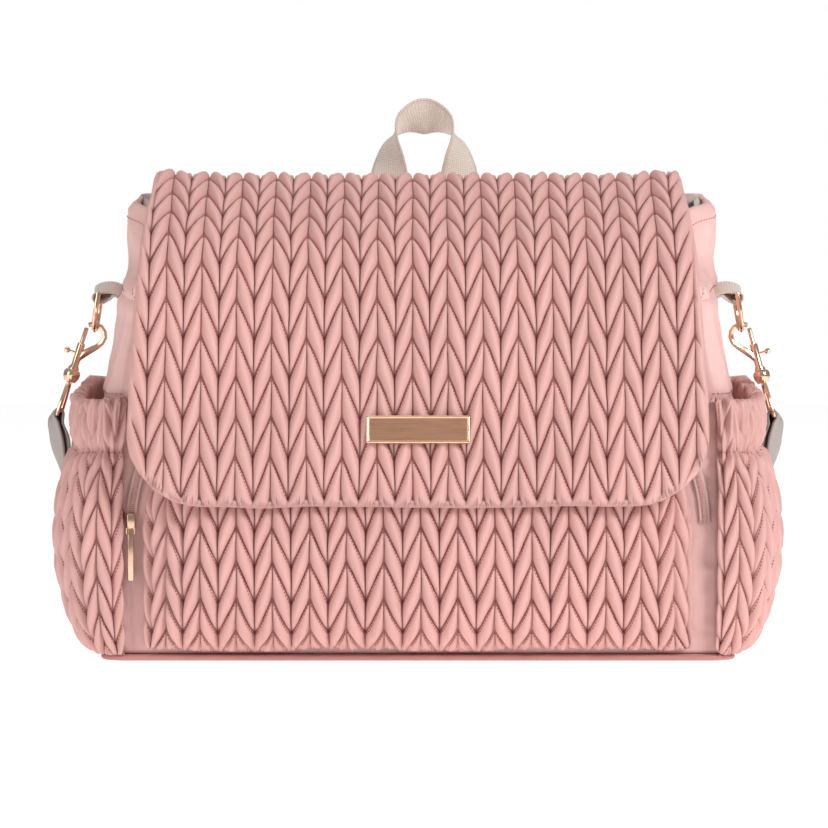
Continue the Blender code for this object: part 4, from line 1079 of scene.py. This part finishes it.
def gathers(flat):
    """How far the elastic's pleats push the cloth in or out."""
    u, v = flat[:, 0], flat[:, 1]
    wander = 1.1 * ripples([(a, 0.25 * b, 0) for a, b in flat], 0.022, 21.0)
    wave = 2 * np.abs(np.sin(np.pi * (u / 0.0098 + wander))) - 1.1
    strength = np.interp(v - gather_v, [-0.034, -0.012, 0.0, 0.012, 0.036], [0.0, 0.0011, 0.0019, 0.0026, 0.0031])
    strength = strength * (1 + 0.6 * ripples([(a, b, 0) for a, b in flat], 0.014, 25.0))
    pull = 0.0034 * np.exp(-((v - gather_v) / 0.0030) ** 2)
    level = np.clip(np.minimum(u, side_long - u) / 0.010, 0, 1)
    return (wave * strength - pull) * level


for name, sign, near in (("left", -1, 0.0), ("right", 1, 0.0100)):
    side_outline = rounded_outline([(near, 0.0, 0.014), (side_long, 0.0, 0.014),
                                    (side_long, side_high, 0.003), (near, side_high, 0.003)])

    def side_surface(u, v, sign=sign):
        return side_point(sign, np.clip(read(side_out, u), 0, 1), read(side_up, v))

    side_plait = Plait(column=0.0110, pitch=0.0225, drop=-0.0250, low_u=0.0150, low_v=0.012)
    side_shell = QuiltedShell(
        side_plait, side_outline, side_surface, SIDE_THICK, high=0.0048, hem=0.003, proud=0.0010,
        low_point=0.0010, flip=sign, extra=gathers,
        calm=lambda flat: 1 - 0.45 * smooth_step((flat[:, 1] - gather_v + 0.014) / 0.014))
    side_pocket = side_shell.make(f"quilted_{name}_side_pocket", QUILTED_SATIN)
    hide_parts(f"{name}_side_pocket", f"{name}_pocket_elastic")
    rows = side_shell.stitch_lines(0.004, -0.0021)
    reach = np.arange(near + 0.006, side_long - 0.006, 0.0008)
    rows.append(side_shell.face(np.stack([reach, np.full_like(reach, gather_v - 0.0010)], -1), 0.0003)[0])
    side_stitches = grown(lines_object(f"{name}_side_pocket_stitches", rows), STITCHES, **QUILT_STITCH)
    for sewn in (side_pocket, side_stitches):
        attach(sewn, "bag")

# ---- Flap ----
# One long flap of the same quilting, sewn into the back seam. It rolls over the mouth and down the front,
# and its edge is turned in and rolled.
FLAP_PROFILE = [(0.0655, 0.2908), (0.0580, 0.2955), (0.0460, 0.2964), (0.0310, 0.2900), (0.0, 0.2730),
                (-0.0300, 0.2520), (-0.0480, 0.2250), (-0.0580, 0.1950), (-0.0680, 0.1500),
                (-0.0770, 0.1150), (-0.0805, 0.0950)]
FLAP_HALF_TOP, FLAP_HALF_LOW, FLAP_CORNER = 0.1625, 0.1765, 0.045
flap_line = curve_table(by_length([(0.0, y, z) for y, z in FLAP_PROFILE]))
flap_long = flap_line[0][-1]


def flap_surface(u, v):
    """Outer face of the flap, v down it from the back seam. Its sides lean back round the bag."""
    down_y = np.interp(v, flap_line[0], np.gradient(flap_line[1][:, 1], flap_line[0]))
    down_z = np.interp(v, flap_line[0], np.gradient(flap_line[1][:, 2], flap_line[0]))
    lean = 0.0030 * smooth_step((np.abs(u) - 0.120) / 0.060) - 0.0012 * np.cos(u / 0.060) * smooth_step(v / 0.1)
    return np.stack([u, read(flap_line, v, 1) - down_z * -lean, read(flap_line, v, 2) + down_y * -lean], -1)


low_row = float(np.interp(-0.1475, -flap_line[1][250:, 2], flap_line[0][250:]))
flap_plait = Plait(column=0.01058, pitch=0.0246, drop=0.0262, low_u=0.0073, low_v=low_row)
flap_outline = rounded_outline([
    (-FLAP_HALF_TOP, 0.0, 0.006), (FLAP_HALF_TOP, 0.0, 0.006),
    (FLAP_HALF_LOW, flap_long, FLAP_CORNER), (-FLAP_HALF_LOW, flap_long, FLAP_CORNER)])
flap_shell = QuiltedShell(flap_plait, flap_outline, flap_surface, 0.008, high=0.0048, hem=0.005, proud=0.0014,
                          low_point=0.0012, flip=-1)
flap = flap_shell.make("quilted_flap", QUILTED_SATIN)
flap_stitches = grown(lines_object("flap_stitches", flap_shell.stitch_lines(0.005, 0.0021)), STITCHES,
                      **QUILT_STITCH)
for sewn in (flap, flap_stitches):
    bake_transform(sewn)
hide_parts("flap_top", "flap_front")

# The flap's back edge is sewn down to the back panel through a strip of the plain satin.
across = np.linspace(-0.1600, 0.1600, 121)
strip_line = curve_table(by_length([(0.0, 0.0722, 0.2780), (0.0, 0.0716, 0.2850), (0.0, 0.0700, 0.2905),
                                    (0.0, 0.0668, 0.2928), (0.0, 0.0620, 0.2937)]))
along = np.linspace(0, strip_line[0][-1], 22)
strip_out = np.stack([np.broadcast_to(-across, (22, 121)),
                      np.broadcast_to(read(strip_line, along, 1)[:, None], (22, 121)),
                      np.broadcast_to(read(strip_line, along, 2)[:, None], (22, 121))], -1)
strip_normal = grid_normals(strip_out, False)
gathered = 0.0006 * ripple_grid(strip_out * [1, 0.3, 0.3], 0.006, 41.0)
strip_out = strip_out + strip_normal * gathered[..., None]
strip_flat = np.stack([strip_out[..., 0], np.broadcast_to(along[:, None], (22, 121))], -1)
hinge_strip = walled("flap_hinge_strip", strip_out, strip_out - strip_normal * 0.0014, False, PLAIN_SATIN_PAINTED_LIGHTER,
                     strip_flat, np.zeros((22, 121)))
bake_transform(hinge_strip)

# A die-cast plate riveted through the flap: brushed face, blank, inside a polished raised rim.
PLATE_AT = 0.2300
plate_middle = Vector((0, float(read(flap_line, PLATE_AT, 1)), float(read(flap_line, PLATE_AT, 2))))
plate_up = Vector((0, float(read(flap_line, PLATE_AT - 0.004, 1) - read(flap_line, PLATE_AT + 0.004, 1)),
                   float(read(flap_line, PLATE_AT - 0.004, 2) - read(flap_line, PLATE_AT + 0.004, 2)))).normalized()
plate_out = Vector((1, 0, 0)).cross(plate_up)


def on_plate(x, y, height):
    return plate_middle + Vector((x, 0, 0)) + plate_up * y + plate_out * (0.0006 + height)


plate = slab("name_plate_face", 0.0310, 0.0085, 0.0012,
             [(0.0010, 0.0), (0.0002, 0.0), (0.0, 0.0003), (0.0, 0.0026), (0.0002, 0.0030), (0.0007, 0.0032),
              (0.0011, 0.0031), (0.0013, 0.0027), (0.0014, 0.0025), (0.0020, 0.0025)], on_plate,
             BRUSHED_ROSE_GOLD)
plate.data.materials.append(POLISHED_ROSE_GOLD)
for face in plate.data.polygons:
    face.material_index = 0 if face.index // 36 >= 8 else 1
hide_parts("name_plate")
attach(plate, "flap_drop")

# Nickel-plated magnetic snaps, let into the flap and the pocket behind it.
NICKEL = rose_gold("nickel_plated_steel", "C9C6C2", 0.25, 0.0)
for node in ("left_flap_magnet", "right_flap_magnet", "left_pocket_magnet", "right_pocket_magnet"):
    polish(node, NICKEL)
for node in ("left_gate_spring", "right_gate_spring"):
    polish(node, NICKEL, 1.2)
polish("base_board", BOARD)

# ---- Webbing ----
# The handle, side tabs and shoulder strap are woven polyester webbing. The ribs of its weft cross it, and its
# two edges are woven tighter.


def webbing(name, face, edge):
    """Polyester webbing: matt ribs across the band with dark lines between, and fine warp threads along it."""
    made, tree, out = new_material(name)
    cloth = add_node(tree, "ShaderNodeUVMap", uv_map="cloth").outputs[0]
    split = add_node(tree, "ShaderNodeSeparateXYZ", {"Vector": cloth})
    ribs = add_node(tree, "ShaderNodeTexWave", {"Vector": cloth, "Scale": 0.314 / 0.0015, "Distortion": 0.3},
                    bands_direction="Y")
    ends = add_node(tree, "ShaderNodeTexWave", {"Vector": cloth, "Scale": 0.314 / 0.0016, "Distortion": 0.2},
                    bands_direction="X")
    weave = add_node(tree, "ShaderNodeMath", {0: ribs.outputs["Fac"], 1: ends.outputs["Fac"]},
                     operation="MULTIPLY")
    side_on = add_node(tree, "ShaderNodeMath", {0: split.outputs["X"]}, operation="ABSOLUTE")
    near_edge = add_node(tree, "ShaderNodeMapRange", {"Value": side_on.outputs[0], "From Min": 0.0095,
                                                      "From Max": 0.0118, "To Min": 0.0, "To Max": 0.8})
    body = add_node(tree, "ShaderNodeMix", {"Factor": near_edge.outputs[0], 6: colour(face), 7: colour(edge)},
                    data_type="RGBA")
    shade = add_node(tree, "ShaderNodeMapRange", {"Value": weave.outputs[0], "To Min": 0.80, "To Max": 1.10})
    dyed = add_node(tree, "ShaderNodeVectorMath", {0: body.outputs[2], "Scale": shade.outputs[0]},
                    operation="SCALE")
    raised = add_node(tree, "ShaderNodeBump", {"Height": weave.outputs[0], "Strength": 0.5, "Distance": 0.0003})
    surface = add_node(tree, "ShaderNodeBsdfPrincipled", {
        "Base Color": dyed.outputs[0], "Roughness": 0.6, "Sheen Weight": 0.15, "Normal": raised.outputs[0]})
    tree.links.new(surface.outputs[0], out.inputs["Surface"])
    return made


# The ribs are 0.8 mm apart and are drawn at 1.5 mm.
PALE_WEBBING = webbing("beige_polyester_webbing", "E2D3C7", "CDBBAD")
GREY_WEBBING = webbing("taupe_polyester_webbing", "A99B96", "8D807C")


STRAP_WIDE, STRAP_THICK = 0.025, 0.0016


def band(name, stations, step, wide, thick, material, ribbed=0.0):
    """A flat woven band through (x, y, z, width direction) stations, with full edges and closed ends."""
    table = curve_table(by_length(stations), 2400)
    along = np.linspace(0, table[0][-1], max(4, round(table[0][-1] / step)))
    at = np.stack([read(table, along, k) for k in range(3)], -1)
    across = np.stack([read(table, along, k) for k in range(3, 6)], -1)
    ahead = np.gradient(at, axis=0)
    ahead /= np.linalg.norm(ahead, axis=1)[:, None]
    across -= ahead * np.sum(across * ahead, 1)[:, None]
    across /= np.linalg.norm(across, axis=1)[:, None]
    off = np.cross(across, ahead)
    half = 0.5 * thick
    line = np.linspace(-1, 1, 13)
    a = np.concatenate([line * (0.5 * wide - half), [0.5 * wide - 0.13 * half, 0.5 * wide],
                        [0.5 * wide - 0.13 * half], -line * (0.5 * wide - half),
                        [-0.5 * wide + 0.13 * half, -0.5 * wide, -0.5 * wide + 0.13 * half]])
    b = np.concatenate([np.full(13, half), [0.6 * half, 0.0, -0.6 * half], np.full(13, -half),
                        [-0.6 * half, 0.0, 0.6 * half]])
    rib = 1 + ribbed * np.cos(2 * np.pi * along / 0.0016)
    points = (at[:, None] + across[:, None] * a[None, :, None]
              + off[:, None] * (b[None, :] * rib[:, None])[..., None])
    count = len(a)
    faces = [f[::-1] for f in grid_faces(len(along), count, True)]
    faces += [tuple(range(count)), tuple(reversed(range((len(along) - 1) * count, len(along) * count)))]
    flat = np.stack([np.broadcast_to(a, (len(along), count)),
                     np.broadcast_to(along[:, None], (len(along), count))], -1)
    made = piece(name, points.reshape(-1, 3), faces, material, flat.reshape(-1, 2))
    reworked(made.data, lambda bm: bmesh.ops.recalc_face_normals(bm, faces=bm.faces))
    return made


HANDLE_FOOT_Y, HANDLE_FOOT_Z, middle_x = 0.0718, 0.2880, 0.0042
y, z = HANDLE_FOOT_Y, HANDLE_FOOT_Z
handle_left = [(-0.0168, y, z - 0.0080, 1.0, 0.0, 0.0), (-0.0168, y + 0.0020, z, 0.99, -0.10, 0.0),
               (-0.0172, y + 0.0080, z + 0.0160, 0.80, -0.60, 0.02),
               (-0.0150, y + 0.0112, z + 0.0320, 0.30, -0.93, 0.18),
               (-0.0065, y + 0.0124, z + 0.0432, -0.25, -0.78, 0.50)]
handle_top = [(middle_x, y + 0.0128, z + 0.0462, 0.0, -0.46, 0.88)]
handle_right = [(2 * middle_x - p[0], *p[1:3], -p[3], *p[4:]) for p in reversed(handle_left)]
handle = band("carry_handle_band", [(middle_x + 1.05 * (p[0] - middle_x), *p[1:]) for p in
                                    handle_left + handle_top + handle_right], 0.0004, STRAP_WIDE,
              STRAP_THICK, PALE_WEBBING, 0.12)
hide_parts("carry_handle")
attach(handle, "handle")

RING_BAR, CLIP_Y = (0.1975, 0.2215), 0.030
CLIP_TILT = {"left": 18.0, "right": 15.0}
root_x = float(gusset_x(np.array([CLIP_Y]), np.array([0.219]))[0]) + 0.0004
for name, sign in (("left", -1), ("right", 1)):
    bar_x, bar_z = RING_BAR
    path = [(root_x, bar_z + 0.0016), (root_x + 0.005, bar_z + 0.0036), (bar_x - 0.0055, bar_z + 0.0040)]
    path += [(bar_x + 0.0028 * math.sin(math.radians(a)), bar_z + 0.0028 * math.cos(math.radians(a)))
             for a in range(20, 181, 20)]
    path += [(bar_x - 0.0060, bar_z - 0.0006), (root_x + 0.005, bar_z + 0.0016), (root_x, bar_z - 0.0002)]
    tab = band(f"{name}_tab_band", [(sign * x, CLIP_Y, z, 0, 0.95, 0.31) for x, z in path], 0.0005, 0.022,
               0.0014, PALE_WEBBING, 0.12)
    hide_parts(f"{name}_tab")
    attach(tab, "bag")

# ---- Clips ----
# Cast and plated trigger clips: a D ring in each tab, a hook with a sprung gate, and a swivel with a loop.
for name in ("left", "right"):
    for node in ("d_ring", "swivel", "hook", "gate"):
        polish(f"{name}_{node}", POLISHED_ROSE_GOLD)
polish("slide_adjuster", POLISHED_ROSE_GOLD)

# ---- Shoulder strap ----
# One length of webbing, sewn round the right swivel. It hangs behind the bag, lies on the floor, goes up
# through the left swivel and doubles back to the slide that sets its length.
STRAP_Y, STRAP_Z, PLY = 0.0985, 0.0011, 0.0026
SLIDER_X, SLIDER_LEVEL, SLIDER_WRAP = 0.060, 0.0062, 0.0023


SWIVEL_BAR, SWIVEL_ROUND = -0.0600, 0.0028


def clip_point(name, sign, x, z):
    """A point of the hanging clip, from the D ring's foot: x towards the bag and z up the clip."""
    tilt = math.radians(CLIP_TILT[name])
    turn = Matrix.Rotation(sign * -tilt, 3, "Y")
    inward, up = turn @ Vector((-sign, 0, 0)), turn @ Vector((0, 0, 1))
    origin = Vector((sign * 0.2010, CLIP_Y, 0.1985)) - inward * 0.0052 + up * 0.0040
    return origin + inward * x + up * z


def strap_leg(name, sign, inner):
    """From a swivel's bar down behind the bag to the floor. inner sets a second ply inside the first."""
    bar = clip_point(name, sign, 0, SWIVEL_BAR)
    out, y, z = sign * bar.x, CLIP_Y, bar.z
    stations = [
        (out + 0.0026 - inner * 1.7, y + 0.0005, z - 0.0030, 0.25, 0.96, 0.05),
        (out + 0.0018 - inner * 1.3, y + 0.0100, z - 0.0200, 0.42, 0.86, 0.30),
        (out - 0.0015 - inner, y + 0.0360, z - 0.0480, 0.15, 0.86, 0.48),
        (out - 0.0095 - inner, y + 0.0560, z - 0.0780, -0.35, 0.85, 0.36),
        (out - 0.0200 - inner, STRAP_Y - 0.004, z - 0.1080, -0.35, 0.92, 0.20),
        (out - 0.0290 - inner, STRAP_Y - 0.001, 0.0150 + inner * 0.7, -0.12, 0.99, 0.06),
        (out - 0.0365 - inner, STRAP_Y, 0.0066 + inner * 0.9, -0.06, 1.0, 0.03),
        (out - 0.0445 - inner, STRAP_Y, 0.0026 + inner, 0.0, 1.0, 0.0),
        (out - 0.0540 - inner, STRAP_Y, 0.0013 + inner, 0.0, 1.0, 0.0),
        (out - 0.0660 - inner, STRAP_Y, STRAP_Z + inner, 0.0, 1.0, 0.0)]
    return [(sign * px, py, pz, sign * wx, wy, wz) for px, py, pz, wx, wy, wz in stations]


def over_bar(name, sign):
    """Round the swivel's bar, from its outside to its inside."""
    return [(*clip_point(name, sign, -SWIVEL_ROUND * math.cos(a), SWIVEL_BAR + SWIVEL_ROUND * math.sin(a)),
             sign * 0.10, 1, 0)
            for a in [math.radians(d) for d in range(0, 181, 36)]]


right_down, left_out = strap_leg("right", 1, 0.0), strap_leg("left", -1, 0.0)
left_in = strap_leg("left", -1, PLY)
right_leg = (list(reversed(strap_leg("right", 1, PLY)[:2])) + list(reversed(over_bar("right", 1))) + right_down)
left_leg = list(reversed(left_out)) + over_bar("left", -1) + left_in
strap_right = band("strap_right_leg", right_leg, 0.0012, STRAP_WIDE, STRAP_THICK, GREY_WEBBING)
strap_left = band("strap_left_leg", left_leg, 0.0012, STRAP_WIDE, STRAP_THICK, GREY_WEBBING)
floor_run = [right_down[-1]] + [(x, STRAP_Y, STRAP_Z, 0, 1, 0) for x in (0.11, 0.01, -0.04)] + [left_out[-1]]
strap_floor = band("strap_floor_run", floor_run, 0.0015, STRAP_WIDE, STRAP_THICK, GREY_WEBBING)
under, over = STRAP_Z + PLY, SLIDER_LEVEL + SLIDER_WRAP
second = [left_in[-1], (SLIDER_X - 0.100, STRAP_Y, under, 0, 1, 0), (SLIDER_X - 0.030, STRAP_Y, under, 0, 1, 0)]
second += [(SLIDER_X + SLIDER_WRAP * math.cos(a), STRAP_Y, SLIDER_LEVEL + SLIDER_WRAP * math.sin(a), 0, 1, 0)
           for a in [math.radians(d) for d in range(-90, 91, 30)]]
second += [(SLIDER_X - 0.0160, STRAP_Y, over, 0, 1, 0), (SLIDER_X - 0.034, STRAP_Y, under + PLY, 0, 1, 0),
           (SLIDER_X - 0.044, STRAP_Y, under + PLY, 0, 1, 0)]
strap_second = band("strap_second_ply", second, 0.0015, STRAP_WIDE, STRAP_THICK, GREY_WEBBING)
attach(strap_floor, "bag")
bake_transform(strap_second)
for name, sign, leg in (("left", -1, strap_left), ("right", 1, strap_right)):
    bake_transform(leg)
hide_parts("shoulder_strap")
